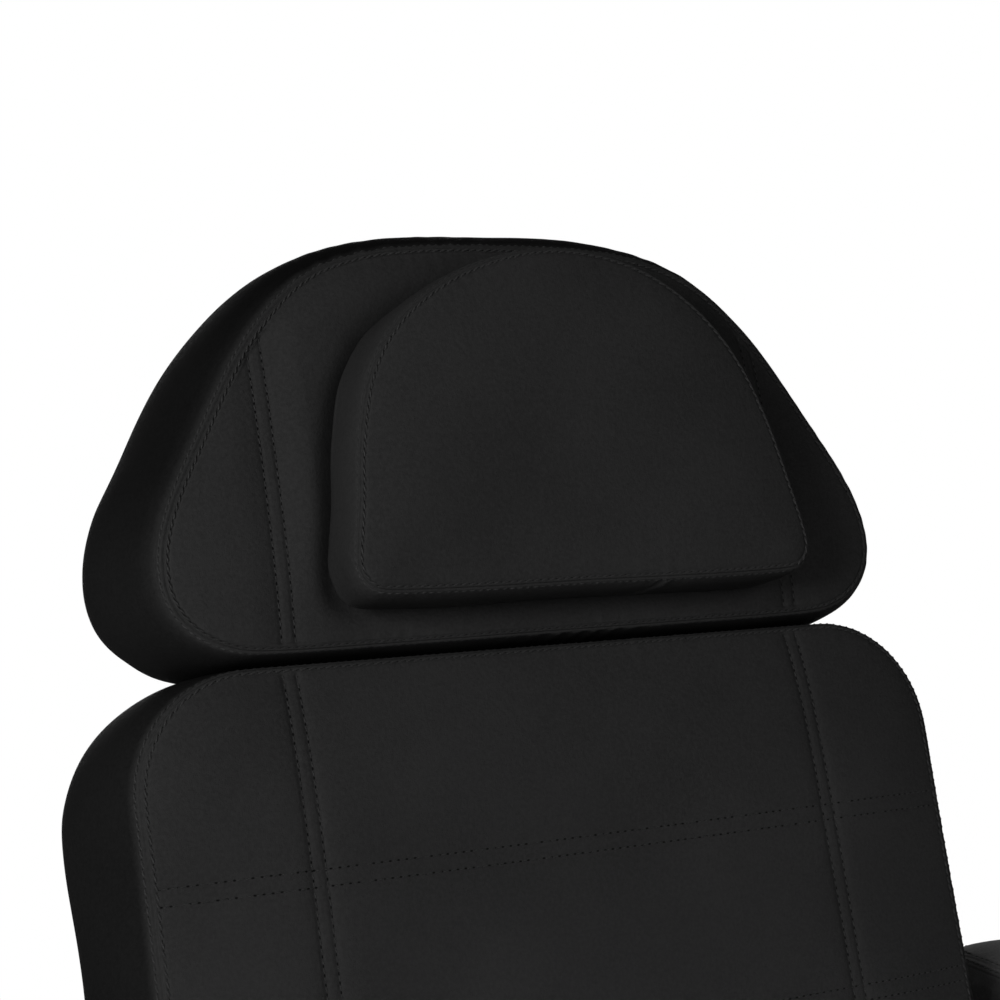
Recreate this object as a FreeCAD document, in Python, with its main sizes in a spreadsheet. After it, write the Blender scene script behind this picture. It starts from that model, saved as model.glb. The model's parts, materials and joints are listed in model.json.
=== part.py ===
import FreeCAD, Part
import math
import os
import re

import Sketcher

doc = FreeCAD.newDocument("beauty_bed")

# Driving sizes: lengths in millimetres, angles in degrees
SIZES = {
    # base on the floor and its pressed cover
    "base_length": 860, "base_width": 560, "base_thick": 8, "base_corner": 70,
    "cover_margin": 12, "cover_rise": 58, "cover_wall": 2, "cover_corner": 58,
    "cover_top_length": 300, "cover_top_width": 250,
    # hydraulic pump and piston
    "flange_radius": 88, "flange_thick": 12, "pump_radius": 48, "pump_wall": 8, "pump_height": 300,
    "gland_radius": 56, "gland_height": 24, "gland_edge": 4,
    "piston_radius": 30, "piston_depth": 240, "piston_reach": 60,
    "spigot_radius": 22, "spigot_height": 30,
    "pump_bolt_radius": 5, "pump_bolt_head": 9, "pump_bolt_thick": 7, "pump_bolt_ring": 70,
    # foot pedal
    "pedal_height": 114, "clamp_height": 30, "clamp_wall": 12, "pedal_pivot": 32,
    "cheek_gap": 12, "cheek_thick": 6, "cheek_radius": 15, "pedal_pin_radius": 5,
    "pedal_length": 300, "pedal_lift": 14, "pedal_bar": 12, "pedal_bar_thick": 20,
    "pedal_pad_width": 110, "pedal_pad_length": 60, "pedal_pad_thick": 12, "pedal_plate_thick": 5,
    "pedal_pad_round": 5,
    # swivel hub and mounting plate
    "washer_thick": 2, "hub_radius": 50, "hub_height": 34,
    "mount_width": 270, "mount_length": 240, "mount_thick": 8, "mount_corner": 20,
    "mount_bolt_radius": 5, "mount_bolt_head": 9, "mount_bolt_thick": 6, "mount_bolt_inset": 25,
    "lock_radius": 6, "lock_reach": 28, "lock_bar": 12, "lock_bar_thick": 9, "lock_length": 85,
    "lock_angle": 20,
    # seat frame
    "rail_width": 30, "rail_height": 40, "rail_wall": 2.5, "rail_round": 4, "rail_middle": 105,
    "outrigger_width": 40, "outrigger_height": 36,
    "lug_reach": 80, "lug_radius": 24, "lug_thick": 6, "plate_gap": 1,
    "hinge_pin": 8, "hinge_head": 14, "hinge_head_thick": 8, "hinge_flange_thick": 3,
    # cushions and boards
    "board_thick": 15, "board_inset": 30, "board_corner": 50, "hinge_board_cut": 40,
    "bed_width": 606, "cushion_thick": 105, "seat_length": 500, "seat_front": 310,
    "back_length": 500, "leg_length": 520, "hinge_inset": 54, "hinge_swing": 72,
    "cushion_corner": 88, "hinge_corner": 60, "side_gap": 6, "seam_inset": 21,
    "groove_middle": 183, "groove_radius": 12, "groove_depth": 2.5,
    # angles at rest: back above the level, leg part below it
    "back_angle": 72, "leg_angle": 18,
    # frames of the back and the leg part
    "frame_depth": 30, "frame_wall": 2, "frame_round": 4, "cross_start": 90, "cross_width": 40,
    "upright_width": 30, "upright_middle": 150, "upright_length": 290, "tie_width": 30,
    "cap_thick": 3, "leg_upright_length": 300,
    # headrest guides, rods and hinge
    "guide_size": 24, "guide_wall": 2.5, "guide_middle": 80, "guide_length": 150, "guide_round": 2,
    "rod_size": 18, "rod_clear": 0.5, "rod_depth": 138, "rod_wall": 2,
    "head_gap": 2, "head_hinge_rise": 45, "head_pin": 4, "ear_thick": 4, "ear_radius": 9.5,
    "leaf_thick": 3, "leaf_length": 60, "leaf_start": 12, "pin_over": 3,
    "knob_radius": 18, "knob_thick": 15, "knob_stem": 4, "knob_from_top": 22, "knob_gap": 1.5,
    "knob_scoop": 7, "knob_scoop_ring": 23, "knob_edge": 2.5,
    # headrest and its pillow, from the photo
    "head_half": 293, "head_height": 301, "head_thick": 108.5,
    "head_low_corner": 62, "head_side_round": 120, "head_top_round": 110,
    "pillow_half": 176, "pillow_rise": 20, "pillow_height": 228, "pillow_thick": 57,
    "pillow_seam_inset": 11, "pillow_low_corner": 30, "pillow_side_round": 120, "pillow_top_round": 90,
    "tape_width": 25, "tape_length": 150, "tape_thick": 1.2, "tape_rise": 60, "tape_pitch": 90,
    # armrests
    "arm_stand": 63, "arm_width": 86, "arm_length": 420, "arm_rear": 126, "arm_corner": 40,
    "arm_thick": 50, "arm_rise": 149, "arm_seam_inset": 9, "arm_board_thick": 12, "arm_board_inset": 12,
    "arm_pivot_forward": 27, "arm_pivot_drop": 32, "post_radius": 20, "post_thick": 8,
    "post_foot": 112, "arm_pin": 6, "arm_pin_head": 10, "arm_pin_thick": 5,
    "arm_plate_thick": 6, "arm_flange_thick": 4, "arm_flange_length": 180, "arm_flange_width": 66,
    "arm_nut_thick": 6,
    # fits and room
    "run_clear": 0.05, "free_clear": 0.4, "soft_clear": 0.3, "overrun": 5,
}

# Lengths worked out from the driving sizes
WORKED = {
    "pump_top": "base_thick + pump_height",
    "gland_top": "pump_top + gland_height",
    "piston_top": "gland_top + piston_reach",
    "hub_bottom": "piston_top + washer_thick",
    "hub_top": "hub_bottom + hub_height",
    "mount_top": "hub_top + mount_thick",
    "rail_top": "mount_top + rail_height",
    "board_top": "rail_top + board_thick",
    "half_thick": "cushion_thick / 2",
    "half_width": "bed_width / 2",
    "hinge_height": "board_top + half_thick",
    "seat_top": "board_top + cushion_thick",
    "seat_rear": "seat_length - seat_front",
    "back_hinge": "seat_rear + hinge_swing",
    "leg_hinge": "-1 * seat_front - hinge_swing",
    "board_level": "-1 * half_thick - board_thick",
    "frame_level": "board_level - frame_depth",
    "frame_middle": "board_level - frame_depth / 2",
    "outrigger_middle": "mount_top + outrigger_height / 2",
    "lug_start": "half_width + side_gap",
    "lug_end": "lug_start + lug_thick",
    "swing_start": "lug_end + plate_gap",
    "swing_end": "swing_start + lug_thick",
    "back_end": "back_length - hinge_inset",
    "leg_end": "leg_length - hinge_inset",
    "cross_middle": "cross_start + cross_width / 2",
    "cross_end": "cross_start + cross_width",
    "guide_end": "back_end - board_inset / 2",
    "guide_start": "guide_end - guide_length",
    "guide_level": "board_level - guide_size / 2",
    "tie_start": "guide_start - tie_width",
    "head_start": "back_end + head_gap",
    "head_hinge": "head_start + head_hinge_rise",
    "head_face": "head_thick - half_thick",
    "pillow_level": "head_face + 4 * soft_clear + 2 * tape_thick",
    "arm_middle": "half_width + arm_stand",
    "arm_top": "seat_top + arm_rise",
    "arm_bottom": "arm_top - arm_thick",
    "arm_board_level": "arm_bottom - arm_board_thick",
    "arm_pivot_height": "arm_board_level - arm_pivot_drop",
    "arm_pivot": "back_hinge - arm_pivot_forward",
    "arm_end": "back_hinge + arm_rear",
    "post_end": "lug_end + post_thick",
    "arm_plate_start": "post_end + plate_gap",
    "arm_plate_end": "arm_plate_start + arm_plate_thick",
    "lock_level": "hub_bottom + hub_height / 2",
    "lock_start": "hub_radius + lock_reach - lock_bar_thick",
}

sheet = doc.addObject("Spreadsheet::Sheet", "sizes")
for row, (name, value) in enumerate(SIZES.items(), 1):
    sheet.set(f"A{row}", name)
    sheet.set(f"B{row}", str(value))
    sheet.setAlias(f"B{row}", name)
doc.recompute()

NODES = {}
PLANES = {"x": "YZ_Plane", "y": "XZ_Plane", "z": "XY_Plane"}
ACROSS = {"x": "yz", "y": "xz", "z": "xy"}
TURNS = {
    "x": FreeCAD.Rotation(FreeCAD.Vector(0, 1, 0), 90),
    "y": FreeCAD.Rotation(FreeCAD.Vector(1, 0, 0), -90),
    "z": FreeCAD.Rotation(),
}
# Where a tilted group hangs: its hinge's place and its angle at rest
GROUPS = {
    "back": ("back_hinge", "hinge_height", "back_angle"),
    "leg": ("leg_hinge", "hinge_height", "leg_angle"),
}


def bound(text):
    """Open worked-out names and point the others at the sheet."""
    def swap(match):
        word = match.group(0)
        if word in WORKED:
            return "(" + bound(WORKED[word]) + ")"
        return "sizes." + word if word in SIZES else word
    return re.sub(r"[a-z_]+", swap, str(text))


def num(text):
    """The value of an expression, in millimetres or degrees."""
    value = sheet.evalExpression(bound(text))
    return float(getattr(value, "Value", value))


def less(first, second):
    """The difference of two expressions."""
    return f"({first}) - ({second})"


def keep(label, item, group=None):
    """Name a finished sub-part and hang it on its group's hinge."""
    item.Label = label
    if group:
        hinge, height, angle = GROUPS[group]
        item.Placement = FreeCAD.Placement(FreeCAD.Vector(), FreeCAD.Rotation(FreeCAD.Vector(1, 0, 0), 0))
        item.setExpression("Placement.Base.y", bound(hinge))
        item.setExpression("Placement.Base.z", bound(height))
        item.setExpression("Placement.Rotation.Angle", bound(angle))
    NODES[label] = item
    return item


def new_body(name):
    """An empty body."""
    return doc.addObject("PartDesign::Body", name)


def new_sketch(body, axis, level="0", middle=("0", "0")):
    """A sketch square to an axis, moved along it and in its own plane."""
    sketch = body.newObject("Sketcher::SketchObject", body.Name + "_sketch")
    plane = next(item for item in body.Origin.OriginFeatures if item.Role == PLANES[axis])
    sketch.AttachmentSupport = [(plane, "")]
    sketch.MapMode = "FlatFace"
    along = less("0", level) if axis == "y" else level
    for key, value in zip("xyz", (*middle, along)):
        sketch.setExpression(f"AttachmentOffset.Base.{key}", bound(value))
    return sketch


def hold(sketch, kind, *where, size):
    """Add a dimension driven by an expression."""
    index = sketch.addConstraint(Sketcher.Constraint(kind, *where, num(size)))
    sketch.setExpression(f"Constraints[{index}]", bound(size))


def add_rectangle(sketch, width, depth):
    """A rectangle about the sketch's origin."""
    half_x, half_y = num(width) / 2, num(depth) / 2
    first = sketch.GeometryCount
    corners = [FreeCAD.Vector(x * half_x, y * half_y) for x, y in ((-1, -1), (1, -1), (1, 1), (-1, 1))]
    for index in range(4):
        sketch.addGeometry(Part.LineSegment(corners[index], corners[(index + 1) % 4]), False)
    for index in range(4):
        sketch.addConstraint(Sketcher.Constraint("Coincident", first + index, 2, first + (index + 1) % 4, 1))
        kind = "Vertical" if index % 2 else "Horizontal"
        sketch.addConstraint(Sketcher.Constraint(kind, first + index))
    sketch.addConstraint(Sketcher.Constraint("Symmetric", first, 1, first + 2, 1, -1, 1))
    hold(sketch, "DistanceX", first, 1, first, 2, size=width)
    hold(sketch, "DistanceY", first + 1, 1, first + 1, 2, size=depth)


def add_circle(sketch, radius, place=("0", "0")):
    """A circle about a point."""
    centre = FreeCAD.Vector(num(place[0]), num(place[1]))
    index = sketch.addGeometry(Part.Circle(centre, FreeCAD.Vector(0, 0, 1), num(radius)), False)
    hold(sketch, "Radius", index, size=radius)
    hold(sketch, "DistanceX", -1, 1, index, 3, size=place[0])
    hold(sketch, "DistanceY", -1, 1, index, 3, size=place[1])


def add_slot(sketch, start, end, radius):
    """A bar outline with round ends about two points."""
    first = sketch.GeometryCount
    ends = [FreeCAD.Vector(num(x), num(y)) for x, y in (start, end)]
    reach = num(radius)
    lean = math.atan2(ends[1].y - ends[0].y, ends[1].x - ends[0].x)
    side = FreeCAD.Vector(-math.sin(lean), math.cos(lean)) * reach
    up = FreeCAD.Vector(0, 0, 1)
    quarter = math.pi / 2
    circles = [Part.Circle(point, up, reach) for point in ends]
    sketch.addGeometry(Part.ArcOfCircle(circles[0], lean + quarter, lean + 3 * quarter), False)
    sketch.addGeometry(Part.LineSegment(ends[0] - side, ends[1] - side), False)
    sketch.addGeometry(Part.ArcOfCircle(circles[1], lean - quarter, lean + quarter), False)
    sketch.addGeometry(Part.LineSegment(ends[1] + side, ends[0] + side), False)
    for index in range(4):
        sketch.addConstraint(Sketcher.Constraint("Tangent", first + index, 2, first + (index + 1) % 4, 1))
    sketch.addConstraint(Sketcher.Constraint("Equal", first, first + 2))
    hold(sketch, "Radius", first, size=radius)
    for index, place in ((first, start), (first + 2, end)):
        hold(sketch, "DistanceX", -1, 1, index, 3, size=place[0])
        hold(sketch, "DistanceY", -1, 1, index, 3, size=place[1])


def add_polygon(sketch, points):
    """A closed outline through points held from the origin."""
    first = sketch.GeometryCount
    places = [FreeCAD.Vector(num(x), num(y)) for x, y in points]
    count = len(places)
    for index in range(count):
        sketch.addGeometry(Part.LineSegment(places[index], places[(index + 1) % count]), False)
    for index in range(count):
        sketch.addConstraint(Sketcher.Constraint("Coincident", first + index, 2, first + (index + 1) % count, 1))
    for index, (x, y) in enumerate(points):
        hold(sketch, "DistanceX", -1, 1, first + index, 1, size=x)
        hold(sketch, "DistanceY", -1, 1, first + index, 1, size=y)


def pad(body, sketch, length):
    """Raise a sketch along its normal."""
    feature = body.newObject("PartDesign::Pad", body.Name + "_pad")
    feature.Profile = sketch
    feature.setExpression("Length", bound(length))
    doc.recompute()
    return feature


def round_edges(body, radius, axis, outside=None):
    """Round the straight edges along an axis, or only those of the outer size given."""
    base = body.Tip
    shape = base.Shape
    box = shape.BoundBox
    names = []
    for index, edge in enumerate(shape.Edges, 1):
        if edge.Curve.TypeId != "Part::GeomLine":
            continue
        if abs(getattr(edge.tangentAt(edge.FirstParameter), axis)) < 0.999:
            continue
        point = edge.valueAt(edge.FirstParameter)
        outer = all(
            min(abs(getattr(point, key) - getattr(box, key.upper() + side)) for side in ("Min", "Max")) < 1e-6
            for key in ACROSS[axis]
        )
        if outer or outside is None:
            names.append(f"Edge{index}")
    feature = body.newObject("PartDesign::Fillet", body.Name + "_round")
    feature.Base = (base, names)
    feature.setExpression("Radius", bound(radius))
    doc.recompute()
    return feature


def tube(name, axis, span, middle, section, wall, radius):
    """A rectangular tube along an axis, its long edges rounded."""
    body = new_body(name)
    sketch = new_sketch(body, axis, span[1] if axis == "y" else span[0], middle)
    add_rectangle(sketch, *section)
    add_rectangle(sketch, *(less(size, f"2 * {wall}") for size in section))
    pad(body, sketch, less(span[1], span[0]))
    round_edges(body, radius, axis, outside=True)
    return body


def slab(name, axis, span, middle, section, radius=None, holes=()):
    """A plate square to an axis, with round corners and round holes."""
    body = new_body(name)
    sketch = new_sketch(body, axis, span[1] if axis == "y" else span[0], middle)
    add_rectangle(sketch, *section)
    for size, place in holes:
        add_circle(sketch, size, place)
    pad(body, sketch, less(span[1], span[0]))
    if radius:
        round_edges(body, radius, axis, outside=True)
    return body


def bar(name, span, start, end, radius, holes=()):
    """A flat bar across the bed with round ends and round holes."""
    body = new_body(name)
    sketch = new_sketch(body, "x", span[0])
    add_slot(sketch, start, end, radius)
    for size, place in holes:
        add_circle(sketch, size, place)
    pad(body, sketch, less(span[1], span[0]))
    return body


def turned(name, points):
    """A piece turned about the column's axis from points of radius and height."""
    body = new_body(name)
    sketch = new_sketch(body, "y")
    add_polygon(sketch, points)
    feature = body.newObject("PartDesign::Revolution", name + "_turn")
    feature.Profile = sketch
    feature.ReferenceAxis = (sketch, ["V_Axis"])
    feature.Angle = 360
    doc.recompute()
    return body


def cylinder(axis, radius, span, place):
    """A cylinder along an axis between two levels."""
    item = doc.addObject("Part::Cylinder", "round_piece")
    item.setExpression("Radius", bound(radius))
    item.setExpression("Height", bound(less(span[1], span[0])))
    item.Placement = FreeCAD.Placement(FreeCAD.Vector(), TURNS[axis])
    where = dict(zip(ACROSS[axis], place))
    where[axis] = span[0]
    for key in "xyz":
        item.setExpression(f"Placement.Base.{key}", bound(where[key]))
    return item


def hexagon(axis, radius, span, place):
    """A six-sided head along an axis between two levels."""
    item = doc.addObject("Part::Prism", "hex_piece")
    item.Polygon = 6
    item.setExpression("Circumradius", bound(radius))
    item.setExpression("Height", bound(less(span[1], span[0])))
    item.Placement = FreeCAD.Placement(FreeCAD.Vector(), TURNS[axis])
    where = dict(zip(ACROSS[axis], place))
    where[axis] = span[0]
    for key in "xyz":
        item.setExpression(f"Placement.Base.{key}", bound(where[key]))
    return item


def block(x, y, z):
    """A box between two levels on each axis."""
    item = doc.addObject("Part::Box", "square_piece")
    for key, prop, span in (("x", "Length", x), ("y", "Width", y), ("z", "Height", z)):
        item.setExpression(prop, bound(less(span[1], span[0])))
        item.setExpression(f"Placement.Base.{key}", bound(span[0]))
    return item


def joined(pieces):
    """One solid from pieces that meet."""
    item = doc.addObject("Part::MultiFuse", "joined")
    item.Shapes = pieces
    item.Refine = True
    return item


def cut(base, tool):
    """A piece less another."""
    item = doc.addObject("Part::Cut", "cut")
    item.Base = base
    item.Tool = tool
    return item


def bundle(pieces):
    """Separate solids that share one node."""
    item = doc.addObject("Part::Compound", "bundle")
    item.Links = pieces
    return item


def sides(span, left):
    """A span to the right of the middle, or its mirror image to the left."""
    return tuple(f"-1 * ({level})" for level in reversed(span)) if left else span


def outline(corners, inset, level):
    """A closed wire of lines and arcs round a polygon, drawn in by an inset."""
    count = len(corners)
    points = [FreeCAD.Vector(x, y) for x, y, _ in corners]
    lines = []
    for index in range(count):
        start, end = points[index], points[(index + 1) % count]
        along = (end - start).normalize()
        lines.append((start + FreeCAD.Vector(-along.y, along.x) * inset, along))
    moved = []
    for index in range(count):
        (first, back), (second, ahead) = lines[index - 1], lines[index]
        gap = second - first
        share = (gap.x * ahead.y - gap.y * ahead.x) / (back.x * ahead.y - back.y * ahead.x)
        moved.append(first + back * share)
    pieces, stops = [], []
    for index in range(count):
        corner = moved[index]
        back, ahead = lines[index - 1][1], lines[index][1]
        turn = math.acos(max(-1.0, min(1.0, back.dot(ahead))))
        radius = max(corners[index][2] - inset, corners[index][2] / 4)
        reach = radius * math.tan(turn / 2)
        start, end = corner - back * reach, corner + ahead * reach
        inward = (ahead - back).normalize()
        middle = corner + inward * (radius / math.cos(turn / 2) - radius)
        stops.append((start, middle, end))
    lift = FreeCAD.Vector(0, 0, level)
    edges = []
    for index, (start, middle, end) in enumerate(stops):
        edges.append(Part.Arc(start + lift, middle + lift, end + lift).toShape())
        following = stops[(index + 1) % count][0]
        edges.append(Part.makeLine(end + lift, following + lift))
    return Part.Wire(edges)


# How a cushion's side draws in towards its two edges, and how its face rises inside the seam:
# shares of the thickness against shares of the seam's inset
SIDE_SHARES = (
    (0.0, 0.85), (0.05, 0.45), (0.15, 0.12), (0.34, 0.0), (0.52, 0.05), (0.68, 0.25), (0.80, 0.55),
    (0.87, 0.83), (0.90, 1.0), (0.945, 1.35), (0.975, 1.75), (1.0, 2.4),
)


def cushion(label, corners, span, inset, group=None, grooves=None):
    """A padded form: drawn-in sides, a seam, a crowned face and stitched channels."""
    corners = [tuple(num(value) for value in corner) for corner in corners]
    low, high = num(span[0]), num(span[1])
    wires = [
        outline(corners, share_in * num(inset), low + share_up * (high - low))
        for share_up, share_in in SIDE_SHARES
    ]
    solid = Part.makeLoft(wires, True, True)
    if grooves:
        radius = num("groove_radius")
        level = high + radius - num("groove_depth")
        start, end = (num(value) for value in grooves)
        for side in (-1, 1):
            place = FreeCAD.Vector(side * num("groove_middle"), start, level)
            solid = solid.cut(Part.makeCylinder(radius, end - start, place, FreeCAD.Vector(0, 1, 0)))
    feature = doc.addObject("Part::Feature", label)
    feature.Shape = solid
    return keep(label, feature, group)


def box_corners(half, start, end, low_round, high_round):
    """Corners of a rounded rectangle between two levels, the lower pair first."""
    return [
        (f"-1 * ({half})", start, low_round), (half, start, low_round),
        (half, end, high_round), (f"-1 * ({half})", end, high_round),
    ]


# Base on the floor: plate, pressed cover, pump and its bolts
keep("base_plate", slab("base_plate", "z", ("0", "base_thick"), ("0", "0"),
                        ("base_width", "base_length"), "base_corner"))


def cover_wire(length, width, corner, level):
    """One level of the base cover's loft."""
    half_x, half_y = width / 2, length / 2
    points = [(-half_x, -half_y, corner), (half_x, -half_y, corner),
              (half_x, half_y, corner), (-half_x, half_y, corner)]
    return outline(points, 0, level)


def cover_solid(drop):
    """The cover's outer form, or the hollow under it, drawn in by the wall."""
    foot_length = num("base_length - 2 * cover_margin") - 2 * drop
    foot_width = num("base_width - 2 * cover_margin") - 2 * drop
    corner = num("cover_corner") - drop
    lip, top = num("base_thick + 2 * cover_wall"), num("base_thick + cover_rise")
    wires = [
        cover_wire(foot_length, foot_width, corner, num("base_thick")),
        cover_wire(foot_length, foot_width, corner, lip - drop),
        cover_wire(num("cover_top_length") - 2 * drop, num("cover_top_width") - 2 * drop, corner, top - drop),
    ]
    return Part.makeLoft(wires, True, True)


cover_shape = cover_solid(0).cut(cover_solid(num("cover_wall")))
cover_shape = cover_shape.cut(Part.makeCylinder(num("pump_radius + free_clear"), num("pump_top")))
cover = doc.addObject("Part::Feature", "base_cover")
cover.Shape = cover_shape
keep("base_cover", cover)

keep("pump_cylinder", turned("pump_cylinder", [
    ("0", "base_thick"), ("flange_radius", "base_thick"),
    ("flange_radius", "base_thick + flange_thick"), ("pump_radius", "base_thick + flange_thick"),
    ("pump_radius", "pump_top"), ("pump_radius - pump_wall", "pump_top"),
    ("pump_radius - pump_wall", "base_thick + flange_thick"), ("0", "base_thick + flange_thick"),
]))
keep("pump_gland", turned("pump_gland", [
    ("piston_radius + run_clear", "pump_top"), ("gland_radius", "pump_top"),
    ("gland_radius", "gland_top - gland_edge"), ("gland_radius - gland_edge", "gland_top"),
    ("piston_radius + run_clear", "gland_top"),
]))
bolts = []
for turn_x, turn_y in ((1, 1), (-1, 1), (-1, -1), (1, -1)):
    bolt_place = (f"{turn_x} * pump_bolt_ring * sqrt(0.5)", f"{turn_y} * pump_bolt_ring * sqrt(0.5)")
    bolt_base = "base_thick + flange_thick"
    bolts.append(hexagon("z", "pump_bolt_head", (bolt_base, f"{bolt_base} + pump_bolt_thick"), bolt_place))
keep("pump_bolts", bundle(bolts))

# Foot pedal on a clamp round the pump
clamp_span = ("pedal_height - clamp_height / 2", "pedal_height + clamp_height / 2")
pedal_axle = ("pump_radius + clamp_wall + pedal_pivot", "pedal_height")
clamp_ring = cylinder("z", "pump_radius + clamp_wall", clamp_span, ("0", "0"))
clamp_cheeks = []
for left in (False, True):
    cheek_span = sides(("cheek_gap", "cheek_gap + cheek_thick"), left)
    clamp_cheeks.append(block(cheek_span, ("0", pedal_axle[0]), clamp_span))
    clamp_cheeks.append(cylinder("x", "cheek_radius", cheek_span, pedal_axle))
clamp_body = cut(joined([clamp_ring, *clamp_cheeks]),
                 cylinder("z", "pump_radius", (f"{clamp_span[0]} - overrun", f"{clamp_span[1]} + overrun"),
                          ("0", "0")))
pin_over = ("-1 * cheek_gap - cheek_thick - overrun", "cheek_gap + cheek_thick + overrun")
keep("pedal_clamp", cut(clamp_body, cylinder("x", "pedal_pin_radius + run_clear", pin_over, pedal_axle)))
keep("pedal_pin", cylinder("x", "pedal_pin_radius", pin_over, pedal_axle))
pedal_end = (f"{pedal_axle[0]} + pedal_length", "pedal_height + pedal_lift")
pedal_half = "pedal_bar_thick / 2"
pedal_plate_top = f"{pedal_end[1]} + pedal_bar + pedal_plate_thick"
keep("pedal_arm", joined([
    bar("pedal_bar_body", (f"-1 * {pedal_half}", pedal_half), pedal_axle, pedal_end, "pedal_bar",
        [("pedal_pin_radius + run_clear", pedal_axle)]),
    block(("-0.5 * pedal_pad_width", "0.5 * pedal_pad_width"),
          (f"{pedal_end[0]} - pedal_pad_length / 2", f"{pedal_end[0]} + pedal_pad_length / 2"),
          (f"{pedal_end[1]} + pedal_bar - pedal_plate_thick", pedal_plate_top)),
]))
keep("pedal_pad", slab("pedal_pad", "z", (pedal_plate_top, f"{pedal_plate_top} + pedal_pad_thick"),
                       ("0", pedal_end[0]), ("pedal_pad_width", "pedal_pad_length"), "pedal_pad_round"))

# Piston, thrust washer, hub and mounting plate
keep("piston_rod", turned("piston_rod", [
    ("0", "pump_top - piston_depth"), ("piston_radius", "pump_top - piston_depth"),
    ("piston_radius", "piston_top"), ("spigot_radius", "piston_top"),
    ("spigot_radius", "piston_top + spigot_height"), ("0", "piston_top + spigot_height"),
]))
keep("thrust_washer", turned("thrust_washer", [
    ("spigot_radius + run_clear", "piston_top"), ("hub_radius", "piston_top"),
    ("hub_radius", "hub_bottom"), ("spigot_radius + run_clear", "hub_bottom"),
]))
hub = turned("hub_turned", [
    ("spigot_radius + run_clear", "hub_bottom"), ("hub_radius", "hub_bottom"),
    ("hub_radius", "hub_top"), ("spigot_radius + run_clear", "hub_top"),
])
lock_hole = cylinder("x", "lock_radius + run_clear", ("0", "hub_radius + overrun"), ("0", "lock_level"))
keep("swivel_hub", cut(hub, lock_hole))
mount_holes = []
bolt_x = "rail_middle"
bolt_y = "mount_length / 2 - mount_bolt_inset"
for turn_x, turn_y in ((1, 1), (-1, 1), (-1, -1), (1, -1)):
    mount_holes.append(("mount_bolt_radius + free_clear", (f"{turn_x} * {bolt_x}", f"{turn_y} * ({bolt_y})")))
keep("mount_plate", slab("mount_plate", "z", ("hub_top", "mount_top"), ("0", "0"),
                         ("mount_width", "mount_length"), "mount_corner", mount_holes))
mount_bolts = []
for _, hole_place in mount_holes:
    mount_bolts.append(joined([
        hexagon("z", "mount_bolt_head", ("hub_top - mount_bolt_thick", "hub_top"), hole_place),
        cylinder("z", "mount_bolt_radius", ("hub_top - mount_bolt_thick", "mount_top"), hole_place),
    ]))
keep("mount_bolts", bundle(mount_bolts))
lock_tip = ("0 - lock_length * cos(lock_angle)", "lock_level - lock_length * sin(lock_angle)")
keep("swivel_lock", joined([
    cylinder("x", "lock_radius", ("spigot_radius + free_clear", "lock_start + lock_bar_thick / 2"),
             ("0", "lock_level")),
    bar("lock_handle", ("lock_start", "lock_start + lock_bar_thick"), ("0", "lock_level"), lock_tip,
        "lock_bar"),
]))

# Seat frame of welded tubes, its board and cushion
rail_ends = ("leg_hinge + lug_reach", "back_hinge - lug_reach")
frame_tubes = []
for left in (False, True):
    side = "-1 * rail_middle" if left else "rail_middle"
    frame_tubes.append(tube("rail", "y", rail_ends, (side, "mount_top + rail_height / 2"),
                            ("rail_width", "rail_height"), "rail_wall", "rail_round"))
    reach = sides(("rail_middle + rail_width / 2", "lug_start"), left)
    for place in ("leg_hinge + lug_reach + outrigger_width / 2", "back_hinge - lug_reach - outrigger_width / 2"):
        frame_tubes.append(tube("outrigger", "x", reach, (place, "outrigger_middle"),
                                ("outrigger_width", "outrigger_height"), "rail_wall", "rail_round"))
keep("seat_frame", bundle(frame_tubes))

lugs = []
for left in (False, True):
    lug_span = sides(("lug_start", "lug_end"), left)
    for hinge, sign in (("back_hinge", "-1"), ("leg_hinge", "1")):
        foot = (f"{hinge} + {sign} * (lug_reach + outrigger_width / 2)", "outrigger_middle")
        lugs.append(bar("lug", lug_span, foot, (hinge, "hinge_height"), "lug_radius",
                        [("hinge_pin + run_clear", (hinge, "hinge_height"))]))
keep("seat_lugs", bundle(lugs))


def pivot_bolt(hinge, left):
    """A shouldered hinge bolt: thin inner flange, shank and six-sided head."""
    place = (hinge, "hinge_height")
    head = sides(("swing_end + run_clear", "swing_end + run_clear + hinge_head_thick"), left)
    shank = sides(("lug_start - hinge_flange_thick", "swing_end + run_clear + hinge_head_thick / 2"), left)
    flange = sides(("lug_start - hinge_flange_thick", "lug_start"), left)
    return joined([hexagon("x", "hinge_head", head, place), cylinder("x", "hinge_pin", shank, place),
                   cylinder("x", "hinge_head", flange, place)])


keep("back_pivot_bolts", bundle([pivot_bolt("back_hinge", left) for left in (False, True)]))
keep("leg_pivot_bolts", bundle([pivot_bolt("leg_hinge", left) for left in (False, True)]))
keep("seat_board", slab("seat_board", "z", ("rail_top", "board_top"),
                        ("0", "seat_rear / 2 - seat_front / 2"),
                        ("bed_width - 2 * board_inset", "seat_length - 2 * board_inset"), "board_corner"))
cushion("seat_cushion", box_corners("half_width", "-1 * seat_front", "seat_rear", "hinge_corner", "hinge_corner"),
        ("board_top + soft_clear", "seat_top"), "seam_inset",
        grooves=("-1 * seat_front - overrun", "seat_rear + overrun"))

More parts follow.
